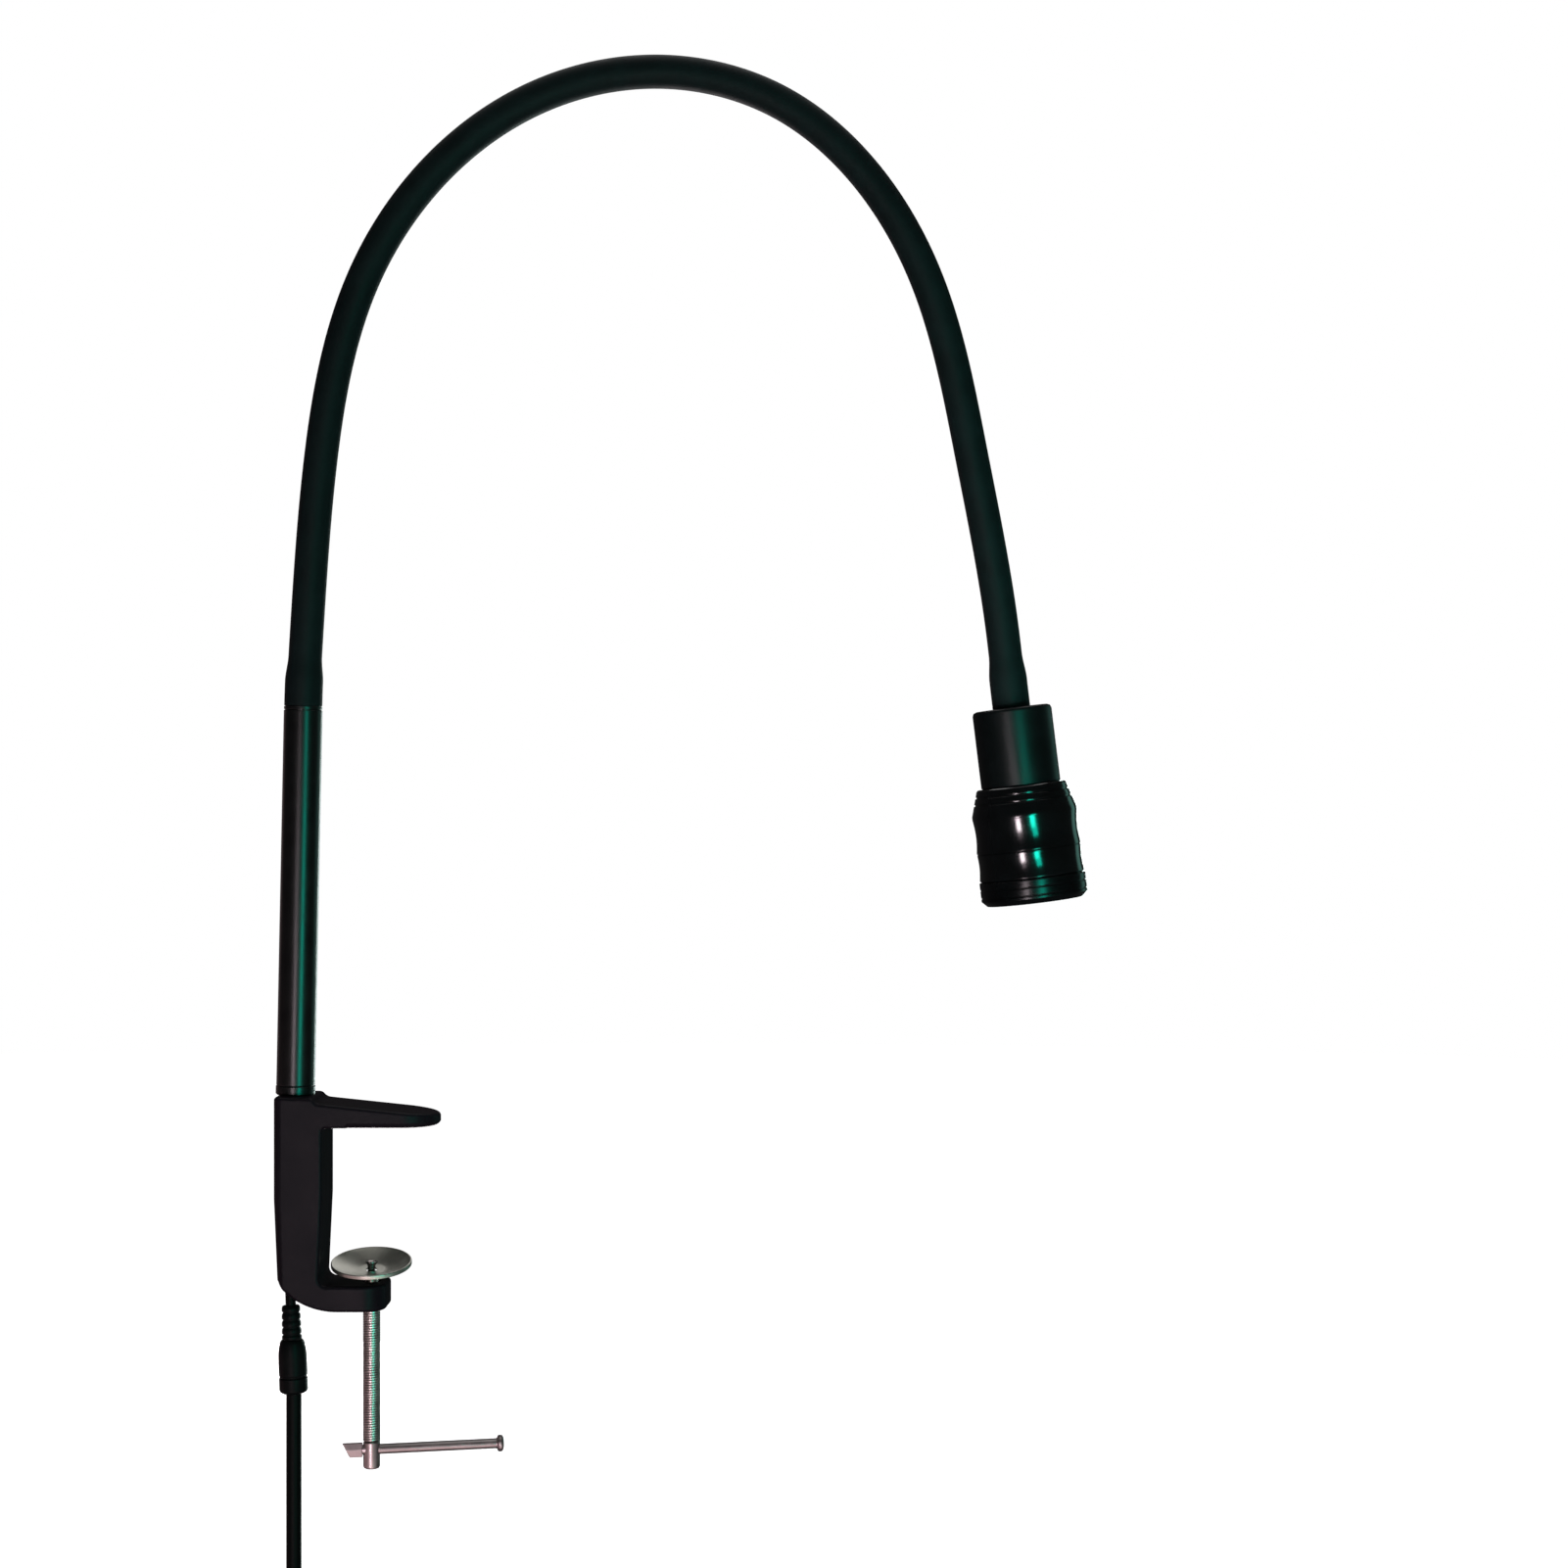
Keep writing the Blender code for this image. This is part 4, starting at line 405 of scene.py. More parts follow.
def joined(*shapes):
    """Puts several closed shapes into one bmesh."""
    whole = bmesh.new()
    for shape in shapes:
        part = as_mesh("part", shape)
        whole.from_mesh(part)
        bpy.data.meshes.remove(part)
    return whole


# %% [markdown]
# ## The supply cord
#
# The cord hangs straight down from its plug, and what isn't needed is wound into a coil of two layers, held
# by a tie. A curve with a round bevel is the natural way to make it: the route is one line of points, first
# the drop, then an arc onto the outer turn, in on the near layer, out again on the far one, and a short tail.

# %% Route of the cord
CORD_RADIUS = 3.15 * MM
CORD_X, CORD_Y = -0.0322, 0.0025
DROP_END = -0.1840
COIL_BEND = 0.030
COIL_INNER = 0.0252
COIL_PITCH = 0.0071
WHOLE_TURNS = 6
TAIL_DROP = 0.030
# The cord's two ends stop just short of their plugs
CORD_GAP = 0.0003

# The outer turn's size depends on where the drop meets it, so a few rounds settle both
coil_outer = COIL_INNER + COIL_PITCH * WHOLE_TURNS / 2
for _ in range(6):
    lean = acos(COIL_BEND / (coil_outer + COIL_BEND))
    coil_turns = WHOLE_TURNS + lean / (2 * pi)
    coil_outer = COIL_INNER + COIL_PITCH * coil_turns / 2
bend_top = DROP_END - 2 * CORD_RADIUS
coil_z = bend_top - (coil_outer + COIL_BEND) * sin(lean)

cord_route = [(CORD_X, CORD_Y, z) for z in np.linspace(PLUG_FOOT - CORD_GAP, bend_top, 16)]
for share in np.linspace(0.125, 0.875, 7):
    turn = lean * share
    cord_route.append(
        (CORD_X + COIL_BEND * (1.0 - cos(turn)), CORD_Y, bend_top - COIL_BEND * sin(turn))
    )
for turn in np.linspace(0.0, 2 * pi * coil_turns, round(coil_turns * 72) + 1):
    away = turn - pi * coil_turns
    radius = COIL_INNER + COIL_PITCH * abs(away) / (2 * pi)
    climb = min(max(away / pi + 0.5, 0.0), 1.0)
    layer = climb * climb * (3.0 - 2.0 * climb)
    angle = pi / 2 - lean + turn
    cord_route.append((
        CORD_X + radius * sin(angle), CORD_Y + COIL_PITCH * layer, coil_z + radius * cos(angle),
    ))
tail_top = cord_route[-1]
for share in (0.2, 0.4, 0.6, 0.8, 1.0):
    cord_route.append((tail_top[0], tail_top[1], tail_top[2] - TAIL_DROP * share))

# %% The cord as a curve
cord_line = bpy.data.curves.new("supply_cord_pvc", "CURVE")
cord_line.dimensions = "3D"
cord_line.bevel_depth = CORD_RADIUS
cord_line.bevel_resolution = 6
cord_line.use_fill_caps = True
spline = cord_line.splines.new("POLY")
spline.points.add(len(cord_route) - 1)
for point, place in zip(spline.points, cord_route):
    point.co = (*place, 1.0)
spline.use_smooth = True
cord_line.materials.append(cord_pvc)
supply_cord = in_scene("supply_cord_pvc", cord_line)
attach(supply_cord, "base")
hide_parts("supply_cord", "supply_coil")

# %% [markdown]
# ## The plug on the cord's far end
#
# A moulded grip with a tapered relief, and a folded steel shell with two square windows that a socket's
# springs snap into. The grip is a box with drawn-in sides and rows of ridges; the shell is a box that is
# hollowed from its mouth by an inset and an extrusion inwards.


# %% The grip
def box(size_mm, centre_mm):
    """A box of a size round a centre, both in millimetres."""
    shape = bmesh.new()
    bmesh.ops.create_cube(shape, size=1.0)
    bmesh.ops.scale(shape, vec=[s * MM for s in size_mm], verts=shape.verts)
    bmesh.ops.translate(shape, vec=[c * MM for c in centre_mm], verts=shape.verts)
    return shape


def facing(shape, axis, sign):
    """The faces of a shape that look along one axis."""
    shape.normal_update()
    return [face for face in shape.faces if face.normal[axis] * sign > 0.9]


tail = cord_route[-1]
FAR_PLUG = Matrix.Translation((tail[0], tail[1], tail[2] - CORD_GAP))
grip = box((8.0, 15.5, 24.0), (0.0, 0.0, -12.0))
for sign in (-1.0, 1.0):
    panel = facing(grip, 0, sign)
    bmesh.ops.inset_region(grip, faces=panel, thickness=2.6 * MM, depth=0.0)
    bmesh.ops.inset_region(grip, faces=panel, thickness=0.5 * MM, depth=-0.5 * MM)
ridges = [box((7.7, 9.0, 1.0), (0.0, 0.0, -5.0 - 2.4 * row)) for row in range(7)]
relief_rings = []
for row in range(5):
    top = 12.0 - 2.4 * row
    width = 3.55 + 0.12 * row
    relief_rings += [(top, width), (top - 1.5, width + 0.12), (top - 1.7, 3.4), (top - 2.2, 3.4)]
relief = swept([Matrix.Translation((0.0, 0.0, z * MM)) @ round_section(r) for z, r in relief_rings], 40)
grip = placed(joined(grip, *ridges, relief), FAR_PLUG)
plug_grip = finished("far_plug_grip", grip, moulded_pvc, "base", ("usb_body",), 0.35)

# %% The shell and its tongue
SHELL_TOP = -24.3
shell = box((4.5, 12.0, 18.6), (0.0, 0.0, SHELL_TOP - 9.3))
mouth = facing(shell, 2, -1.0)
bmesh.ops.inset_region(shell, faces=mouth, thickness=0.4 * MM, depth=0.0)
pushed = bmesh.ops.extrude_discrete_faces(shell, faces=mouth)["faces"]
bmesh.ops.translate(shell, vec=(0.0, 0.0, 17.8 * MM), verts=list({v for f in pushed for v in f.verts}))
windows = [box((5.2, 2.4, 2.2), (0.0, y, SHELL_TOP - 7.4)) for y in (-2.6, 2.6)]


def carved(piece, cutters):
    """Cuts shapes out of a piece for good, and keeps its finish."""
    for cutter in cutters:
        bmesh.ops.recalc_face_normals(cutter, faces=cutter.faces)
        mesh = as_mesh("cutter", cutter)
        tool = in_scene("cutter", mesh)
        step = piece.modifiers.new("cut", "BOOLEAN")
        step.operation = "DIFFERENCE"
        step.solver = "EXACT"
        step.object = tool
        bpy.context.view_layer.update()
        seen_by = bpy.context.evaluated_depsgraph_get()
        whole = bpy.data.meshes.new_from_object(piece.evaluated_get(seen_by), depsgraph=seen_by)
        piece.modifiers.clear()
        old = piece.data
        piece.data = whole
        bpy.data.meshes.remove(old)
        bpy.data.objects.remove(tool, do_unlink=True)
        bpy.data.meshes.remove(mesh)


plug_shell = finished("far_plug_shell", placed(shell, FAR_PLUG), nickel, "base", ("usb_shell",))
carved(plug_shell, [placed(window, FAR_PLUG) for window in windows])
soften(plug_shell, 0.12, 2)
tongue = placed(box((1.8, 10.6, 17.6), (-0.65, 0.0, SHELL_TOP - 8.8)), FAR_PLUG)
plug_tongue = finished("far_plug_tongue", tongue, white_mask, "base", ("usb_tongue",), 0.2)
contacts = joined(*[box((0.2, 1.2, 9.0), (0.32, y, SHELL_TOP - 11.4)) for y in (-3.5, -1.1, 1.1, 3.5)])
plug_contacts = finished("far_plug_contacts", placed(contacts, FAR_PLUG), gold, "base", (), 0.05)

# %% [markdown]
# ## The tie round the coil
#
# A woven hook-and-loop strap lies round the turns and back on itself. A flat section is swept round a
# rounded rectangle and a little further, so the end lies on the start as the real strap does. The weave is
# two crossed waves in the material, at the thread spacing of such webbing.

# %% Woven strap
# A wave repeats every 0.314 / scale, and one repeat is two threads
THREAD_WIDTH = 0.9 * MM
strap_finish, tree, shader = new_finish("woven_strap", roughness=0.85)
strap_place = add(tree, "ShaderNodeTexCoord").outputs["Object"]
wave = {"Scale": 0.314 / (2 * THREAD_WIDTH), "Distortion": 1.2, "Detail": 1.0}
warp, weft = [
    add(tree, "ShaderNodeTexWave", {"bands_direction": way}, wave, {"Vector": strap_place}).outputs["Fac"]
    for way in ("X", "Z")
]
weave = add(tree, "ShaderNodeMath", {"operation": "MULTIPLY"}, links={0: warp, 1: weft}).outputs["Value"]
strap_tint = add(tree, "ShaderNodeValToRGB", links={"Fac": weave})
strap_tint.color_ramp.elements[0].color = colour("#121214")
strap_tint.color_ramp.elements[1].color = colour("#2a2a2d")
weave_depth = {"Strength": 1.0, "Distance": 0.12 * MM}
strap_bump = add(tree, "ShaderNodeBump", sockets=weave_depth, links={"Height": weave})
tree.links.new(strap_tint.outputs["Color"], shader.inputs["Base Color"])
tree.links.new(strap_bump.outputs["Normal"], shader.inputs["Normal"])

# %% The strap's loop
TIE = stand((CORD_X, CORD_Y + COIL_PITCH / 2, coil_z), -40.0, "Y")
TIE_SLACK, TIE_CORNER = 1.0, 2.6
STRAP_SECTION = Matrix.Diagonal((5.6 * MM, 0.62 * MM, MM, 1.0))
tie_low = (COIL_INNER - CORD_RADIUS) / MM - TIE_SLACK + TIE_CORNER
tie_high = (coil_outer + CORD_RADIUS) / MM + TIE_SLACK - TIE_CORNER
tie_half = (COIL_PITCH / 2 + CORD_RADIUS) / MM + TIE_SLACK - TIE_CORNER
loop = []
corner_places = (
    (tie_half, tie_high, 0.0), (-tie_half, tie_high, 90.0),
    (-tie_half, tie_low, 180.0), (tie_half, tie_low, 270.0),
)
for y, z, start in corner_places:
    for turn in np.linspace(start, start + 90.0, 7):
        out = Vector((0.0, cos(radians(turn)), sin(radians(turn))))
        loop.append((Vector((0.0, y, z)) + out * TIE_CORNER, out))
LAP_RISE = 0.95
lap = [(place + out * LAP_RISE, out) for place, out in loop[:7]]
lap.append((lap[-1][0] + Vector((0.0, -3.0, 0.0)), lap[-1][1]))
rise = loop[-1][0] + Vector((0.0, 0.35, 12.0)), Vector((0.0, 1.0, 0.0))
# A sweep of four sides starts as a diamond, and an eighth of a turn makes it a flat strap
square = STRAP_SECTION @ Matrix.Rotation(radians(45.0), 4, "Z")
width_way = Vector((1.0, 0.0, 0.0))
strap = swept([TIE @ axes_at(place * MM, width_way, out) @ square for place, out in [*loop, rise, *lap]], 4)
cord_tie = finished("cord_tie_strap", strap, strap_finish, "base", ("cord_tie",), 0.15)

# %% [markdown]
# ## The connector
#
# The lead comes down the post, runs on in a channel in the clamp, and leaves its foot through a ribbed boot
# that keeps it from kinking. Below it hang the moulded socket and the plug that is pushed into it. The lead
# is swept through its points. The rest is round, so it is turned about one axis, with rings for the boot's
# ribs and a small parting line where plug and socket meet.

# %% Lead, boot, socket and plug
lead_route = [LEAD @ Vector((0.0, 0.0, h * MM)) for h in (24.0, 30.0, 36.0, 41.0, 46.0)]
lead_route += [Vector((-0.0330, 0.0019, -0.048)), Vector((-0.0324, 0.0007, -0.030))]
lead_route += [POST @ Vector((0.0, 0.0, h * MM)) for h in (-16.0, 0.0, 18.0, 80.0, 142.0, 170.6)]
# The first eight points end in the post's socket
IN_CLAMP = 8


def lead_tube(radius, points):
    """A tube round some of the lead's points: the lead itself, or the channel that it runs in."""
    return swept([Matrix.Translation(p) @ round_section(radius) for p in points], 32)


finished("lead_jacket", lead_tube(2.1, lead_route), cord_pvc, "base", ("lamp_lead",))
boot_profile = [(2.4, 35.8), (3.3, 35.8), (3.6, 35.5)]
for rib in range(4):
    top = 35.8 - rib * 3.02
    width = 3.7 + 0.075 * rib
    boot_profile += [
        (width - 0.1, top - 0.4), (width + 0.04, top - 1.2), (width, top - 2.2), (width - 0.4, top - 2.45),
        (width - 0.4, top - 2.9),
    ]
boot_profile += [(4.0, 23.4), (4.0, 22.2), (2.4, 22.2)]
jack_profile = [(0.0, 21.9), (3.7, 21.9)]
for turn in np.linspace(0.12, pi / 2, 12):
    jack_profile.append((4.0 + 1.8 * sin(turn), 21.9 - 8.0 * (1.0 - cos(turn))))
jack_profile += [(5.8, 7.6), (5.55, 7.3), (5.55, 6.6), (0.0, 6.6)]
plug_profile = [
    (0.0, 6.5), (5.55, 6.5), (5.8, 6.2), (5.8, 1.6), (5.4, 0.7), (4.5, 0.15), (3.9, 0.0), (0.0, 0.0),
]
mouldings = (
    ("jack_boot_ribs", turned(boot_profile, LEAD, 64, True), ("jack_boot",), 0.22),
    ("jack_body_moulding", turned(jack_profile, LEAD, 72), ("jack_body", "dc_plug_tip"), 0.2),
    ("dc_plug_moulding", turned(plug_profile, LEAD, 72), ("dc_plug",), 0.2),
)
for name, shape, nodes, corner in mouldings:
    finished(name, shape, moulded_pvc, "base", nodes, corner)

# %% [markdown]
# ## The clamp
#
# The frame is one die casting. Its side view is drawn once as an outline and extruded to its width. Then
# the corners are rounded in the order that a pattern maker would: the wide rounds of the jaw ends and the
# back first, and the small casting radius over every edge last. A swept tool then cuts a wider round under
# the upper jaw. The screw's hole, the post's socket and the lead's channel come at the end, as they are
# drilled on the real one.


# %% The frame's outline
def arc(x, z, radius, start, end, steps):
    """Points on a circular arc, in millimetres and degrees."""
    angles = np.radians(np.linspace(start, end, steps + 1))
    return [(x + radius * cos(a), z + radius * sin(a)) for a in angles]


LOWER_TIP, UPPER_TIP = 7.0, 28.2
outline = [(-36.3, -63.4)]
outline += arc(-11.98, -42.2, 32.0, 234.0, 270.0, 12)
outline += [(LOWER_TIP, -74.2), (LOWER_TIP, -63.8)]
outline += arc(-16.1, -60.4, 3.4, 270.0, 180.0, 8)
outline += [(-18.0, -28.71)]
outline += arc(-16.64, -1.36, 1.36, 180.0, 90.0, 5)
outline += [(UPPER_TIP, 0.0), (UPPER_TIP, 4.9), (-20.2, 10.02), (-22.3, 12.223), (-37.8, 12.534)]
outline += [(-37.8, -28.71)]

casting = bmesh.new()
CAST_HALF = 15.0
corners = [casting.verts.new((x * MM, -CAST_HALF * MM, z * MM)) for x, z in outline]
side = casting.faces.new(corners)
risen = bmesh.ops.extrude_face_region(casting, geom=[side])["geom"]
bmesh.ops.translate(casting, vec=(0.0, 2 * CAST_HALF * MM, 0.0), verts=made_verts(risen))
bmesh.ops.recalc_face_normals(casting, faces=casting.faces)


# %% Rounding the frame
def edges_where(test, low=-100.0):
    """The casting's edges that climb, or lie below a height, and whose ends' x in millimetres pass a test."""
    found = []
    for edge in casting.edges:
        start, end = [v.co / MM for v in edge.verts]
        if test(start.x) and test(end.x) and (abs(start.z - end.z) > 0.1 or start.z < low):
            found.append(edge)
    return found


rounds = (
    (edges_where(lambda x: x < -36.2, -32.0), 3.6, 8),
    (edges_where(lambda x: abs(x - LOWER_TIP) < 0.01), 9.0, 12),
    (edges_where(lambda x: abs(x - UPPER_TIP) < 0.01), 14.7, 20),
)
for edges, radius, segments in rounds:
    bmesh.ops.bevel(
        casting, geom=edges, offset=radius * MM, offset_type="OFFSET", affect="EDGES", segments=segments,
        profile=0.5, clamp_overlap=False, material=-1,
    )
clamp = finished("clamp_casting", casting, powder_coat, "base", ("clamp_frame",))
soften(clamp, 1.4, 5, 38.0)


# %% Underside of the upper jaw, and the drilling
def jaw_frame(x, turn, off=0.0):
    """Puts an outline, drawn outwards and upwards, at the jaw's edge, or a little clear of it."""
    out = Vector((sin(turn), -cos(turn), 0.0))
    edge = axes_at((x * MM, 0.0, 0.0), out, Vector((0.0, 0.0, 1.0)))
    return edge @ Matrix.Translation((off * MM, -off * MM, 0.0)) @ Matrix.Scale(MM, 4)


# The tool stands a hair off the casting, so that no two faces lie in one plane, and runs out before the web
TOOL_GAP = 0.05
TOOL_DEPTH = 2.0
JAW_ROUND = 3.0
TIP_CENTRE = 13.5
FADE_START, FADE_END, FADE_OFF = -8.0, -15.0, 2.2
round_x = CAST_HALF + TOOL_GAP - JAW_ROUND
round_z = JAW_ROUND - TOOL_GAP
tool_side = CAST_HALF + TOOL_GAP + TOOL_DEPTH
round_outline = arc(round_x, round_z, JAW_ROUND, 0.0, -90.0, 10)
round_outline += [(round_x, -TOOL_DEPTH), (tool_side, -TOOL_DEPTH), (tool_side, round_z)]
jaw_frames = [jaw_frame(FADE_END, 0.0, FADE_OFF), jaw_frame(FADE_START, 0.0)]
jaw_frames += [jaw_frame(TIP_CENTRE, turn) for turn in np.linspace(0.0, pi, 33)]
jaw_frames += [jaw_frame(FADE_START, pi), jaw_frame(FADE_END, pi, FADE_OFF)]
jaw_round = swept(jaw_frames, outline=round_outline)
for face in jaw_round.faces:
    face.smooth = True
screw_hole = turned(
    [(0.0, -50.0), (3.62, -50.0), (3.62, -63.4), (4.4, -64.2), (4.4, -90.0), (0.0, -90.0)], UPRIGHT, 48,
)
post_socket = turned([(0.0, 10.0), (5.3, 10.0), (5.3, -20.3), (0.0, -20.3)], POST, 64)
carved(clamp, [jaw_round, screw_hole, post_socket, lead_tube(2.6, lead_route[:IN_CLAMP])])
flat_faces(clamp)
print("clamp", len(clamp.data.polygons), "faces after drilling")

# %% [markdown]
# ## The post
#
# A ring seats the post on the casting, and a thin flange ends it under the gooseneck. The seams between
# them are what makes the post read as separate pieces, so each has a small chamfer that catches the light.

# %% Foot ring, tube and flange
seat_profile = [
    (5.3, -0.1), (7.6, -0.1), (7.6, 0.3), (8.0, 0.3), (8.0, 3.5), (7.5, 3.5), (7.5, 3.9), (5.3, 3.9),
]
tube_profile = [(6.6, 3.8), (7.8, 3.8), (7.8, 156.8), (6.6, 156.8)]
flange_profile = [
    (2.5, 156.0), (7.3, 156.0), (7.3, 157.1), (7.75, 157.1), (7.75, 158.3), (7.3, 158.3), (7.3, 159.0),
    (5.7, 159.0), (5.7, 171.0), (2.5, 171.0),
]
post_pieces = (
    ("post_foot_seat", turned(seat_profile, POST, 96, True), "post_foot_ring", 0.18),
    ("post_drawn_tube", turned(tube_profile, POST, 128, True), "post_tube", 0.3),
    ("lower_seam_flange", turned(flange_profile, POST, 96, True), "lower_ferrule", 0.12),
)
for name, shape, node, corner in post_pieces:
    finished(name, shape, lacquer, "base", (node,), corner)

# %% [markdown]
# ## The gooseneck
#
# A wound steel hose in a rubber sleeve holds the head wherever it is put. Its line is a smooth spline through
# measured points. The sleeve is swept along it in seven stretches, each of which spans one joint of the
# frame.


# %% The neck's line
def smooth_line(points, first_way, last_way):
    """A dense cubic spline through points, with a direction given at each end, and the run along it."""
    route = np.array(points, dtype=float)
    spans = np.linalg.norm(np.diff(route, axis=0), axis=1)
    count = len(route)
    system = np.zeros((count, count))
    wanted = np.zeros_like(route)
    system[0, 0] = system[-1, -1] = 1.0
    wanted[0], wanted[-1] = first_way, last_way
    for i in range(1, count - 1):
        before, after = spans[i - 1], spans[i]
        system[i, i - 1:i + 2] = (1.0 / before, 2.0 / before + 2.0 / after, 1.0 / after)
        behind, ahead = route[i] - route[i - 1], route[i + 1] - route[i]
        wanted[i] = 3.0 * behind / before ** 2 + 3.0 * ahead / after ** 2
    slopes = np.linalg.solve(system, wanted)
    dense = []
    for i, span in enumerate(spans):
        for t in np.linspace(0.0, 1.0, 60, endpoint=i == count - 2):
            dense.append(
                (2 * t ** 3 - 3 * t ** 2 + 1) * route[i] + (t ** 3 - 2 * t ** 2 + t) * span * slopes[i]
                + (3 * t ** 2 - 2 * t ** 3) * route[i + 1] + (t ** 3 - t ** 2) * span * slopes[i + 1]
            )
    dense = np.array(dense)
    run = np.concatenate([[0.0], np.cumsum(np.linalg.norm(np.diff(dense, axis=0), axis=1))])
    return dense, run


neck_points = (
    (-0.0264, 0.2030), (-0.0204, 0.2750), (-0.0026, 0.3470), (0.0316, 0.3952), (0.0682, 0.4197),
    (0.1170, 0.4299), (0.1660, 0.4178), (0.1953, 0.3952), (0.2258, 0.3472), (0.2446, 0.2752),
    (0.2574, 0.2032),
)
neck_start = POST @ Vector((0.0, 0.0, 158.6 * MM))
neck_end = HEAD @ Vector((0.0, 0.0, 1.8 * MM))
post_up = POST.to_3x3() @ Vector((0.0, 0.0, 1.0))
head_down = HEAD.to_3x3() @ Vector((0.0, 0.0, -1.0))
neck_line, neck_run = smooth_line(
    [tuple(neck_start), *[(x, 0.0, z) for x, z in neck_points], tuple(neck_end)],
    tuple(post_up), tuple(head_down),
)
neck_length = neck_run[-1]


def on_neck(run):
    """The point of the neck's line at a run from the post."""
    return Vector([np.interp(run, neck_run, neck_line[:, k]) for k in range(3)])


def along_neck(run):
    """The neck's direction there."""
    ahead = on_neck(min(run + MM, neck_length)) - on_neck(max(run - MM, 0.0))
    return ahead.normalized()


print("gooseneck", round(neck_length, 4))

# %% The sleeve in seven stretches
END_TO_JOINT = 0.045
RING_STEP = 0.0015
neck_joints = np.linspace(END_TO_JOINT, neck_length - END_TO_JOINT, 7)
neck_cuts = [0.0, *((neck_joints[1:] + neck_joints[:-1]) / 2), neck_length]
# The sleeve's radius over a ferrule and what it loses beyond, and where that starts and how long it takes
OVER_FERRULE, SLIMMER = 7.7, 0.9
FERRULE_END, SLIMMING = 0.0098, 0.0102


def sleeve_radius(run):
    """The sleeve is drawn over the ferrules, so it is a little thicker near both ends."""
    near = min(run, neck_length - run)
    share = min(max((near - FERRULE_END) / SLIMMING, 0.0), 1.0)
    return OVER_FERRULE - SLIMMER * share * share * (3.0 - 2.0 * share)


def sleeve_frame(run):
    """A matrix that puts a unit circle round the neck's line."""
    up = Vector((0.0, 1.0, 0.0))
    return axes_at(on_neck(run), up.cross(along_neck(run)), up) @ round_section(sleeve_radius(run))


for number, joint in enumerate(neck_joints):
    first, last = neck_cuts[number], neck_cuts[number + 1]
    runs = np.linspace(first, last, round((last - first) / RING_STEP) + 1)
    sleeve = swept([sleeve_frame(run) for run in runs], 48)
    stretch = finished(f"gooseneck_stretch_{number + 1}", sleeve, shrink_rubber)
    stands_for = [f"gooseneck_sleeve_{number + 1}", f"gooseneck_core_{number + 1}"]
    if number == 0:
        stands_for += ["gooseneck_sleeve_0", "gooseneck_core_0"]
    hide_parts(*stands_for)
    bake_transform(stretch)

# %% [markdown]
# ## The lamp head
#
# Everything here was turned on a lathe: a plain satin neck, a barrel with a ringed shoulder, a drawn-in
# waist and a band, and a ringed bezel. The profiles are the drawing that a turner would work from. The waist
# and the band are hollow curves, because that makes a strip of light start sharply under an edge and fade.

# %% Neck of the head
seam_profile = [
    (2.5, -0.2), (7.6, -0.2), (7.6, 0.3), (7.7, 0.3), (7.7, 1.5), (7.6, 1.5), (7.6, 2.2), (5.7, 2.2),
    (5.7, 15.0), (2.5, 15.0),
]
finished(
    "upper_seam_flange", turned(seam_profile, HEAD, 96, True), shrink_rubber, "head",
    ("upper_ferrule",), 0.05,
)
head_neck_profile = [
    (4.5, 0.0), (14.5, 0.0), (15.7, -0.5), (16.2, -1.7), (16.2, -31.5), (15.8, -31.5), (15.8, -31.9),
    (15.0, -31.9), (15.0, -37.5), (14.0, -37.5), (14.0, -3.5), (4.5, -3.5),
]
head_neck = finished(
    "lamp_neck_housing", turned(head_neck_profile, HEAD, 160, True), satin_anodised, "head",
    ("lamp_neck",), 0.3,
)

# %% Barrel
BARREL_TOP = -31.8
GROOVE = 0.35


def shoulder(depth):
    """The radius of the cone that the shoulder's rings are cut from."""
    return 18.2 + 3.2 * depth / 10.7


# Radii and depths below the barrel's top
barrel_cuts = [(15.3, 0.0), (17.7, 0.0), (shoulder(0.6), 0.6)]
for depth in (2.7, 5.7):
    barrel_cuts += [
        (shoulder(depth), depth), (shoulder(depth) - GROOVE, depth + 0.12),
        (shoulder(depth) - GROOVE, depth + 0.68), (shoulder(depth + 0.8), depth + 0.8),
    ]
barrel_cuts += [(21.4, 10.7), (21.4, 12.2)]
for share in np.linspace(0.0, 1.0, 25):
    barrel_cuts.append((21.32 - 0.55 * sin(pi * share), 12.4 + 13.5 * share))
barrel_cuts += [(20.8, 26.1), (21.2, 26.4)]
for share in np.linspace(0.0, 1.0, 17)[1:-1]:
    barrel_cuts.append((21.2 + 0.2 * share - 0.4 * sin(pi * share), 26.5 + 10.5 * share))
barrel_cuts += [
    (21.4, 37.0), (20.9, 37.5), (20.6, 37.5), (20.6, 37.9), (19.0, 37.9), (19.0, 41.2), (17.6, 41.2),
    (17.6, 18.5), (0.0, 18.5), (0.0, 13.0), (12.0, 13.0), (12.0, 6.3), (15.3, 6.3), (15.3, 0.0),
]
barrel = turned([(radius, BARREL_TOP - depth) for radius, depth in barrel_cuts], HEAD, 192)
head_barrel = finished(
    "lamp_barrel_turned", barrel, gloss_anodised, "head", ("lamp_barrel",), 0.12,
)

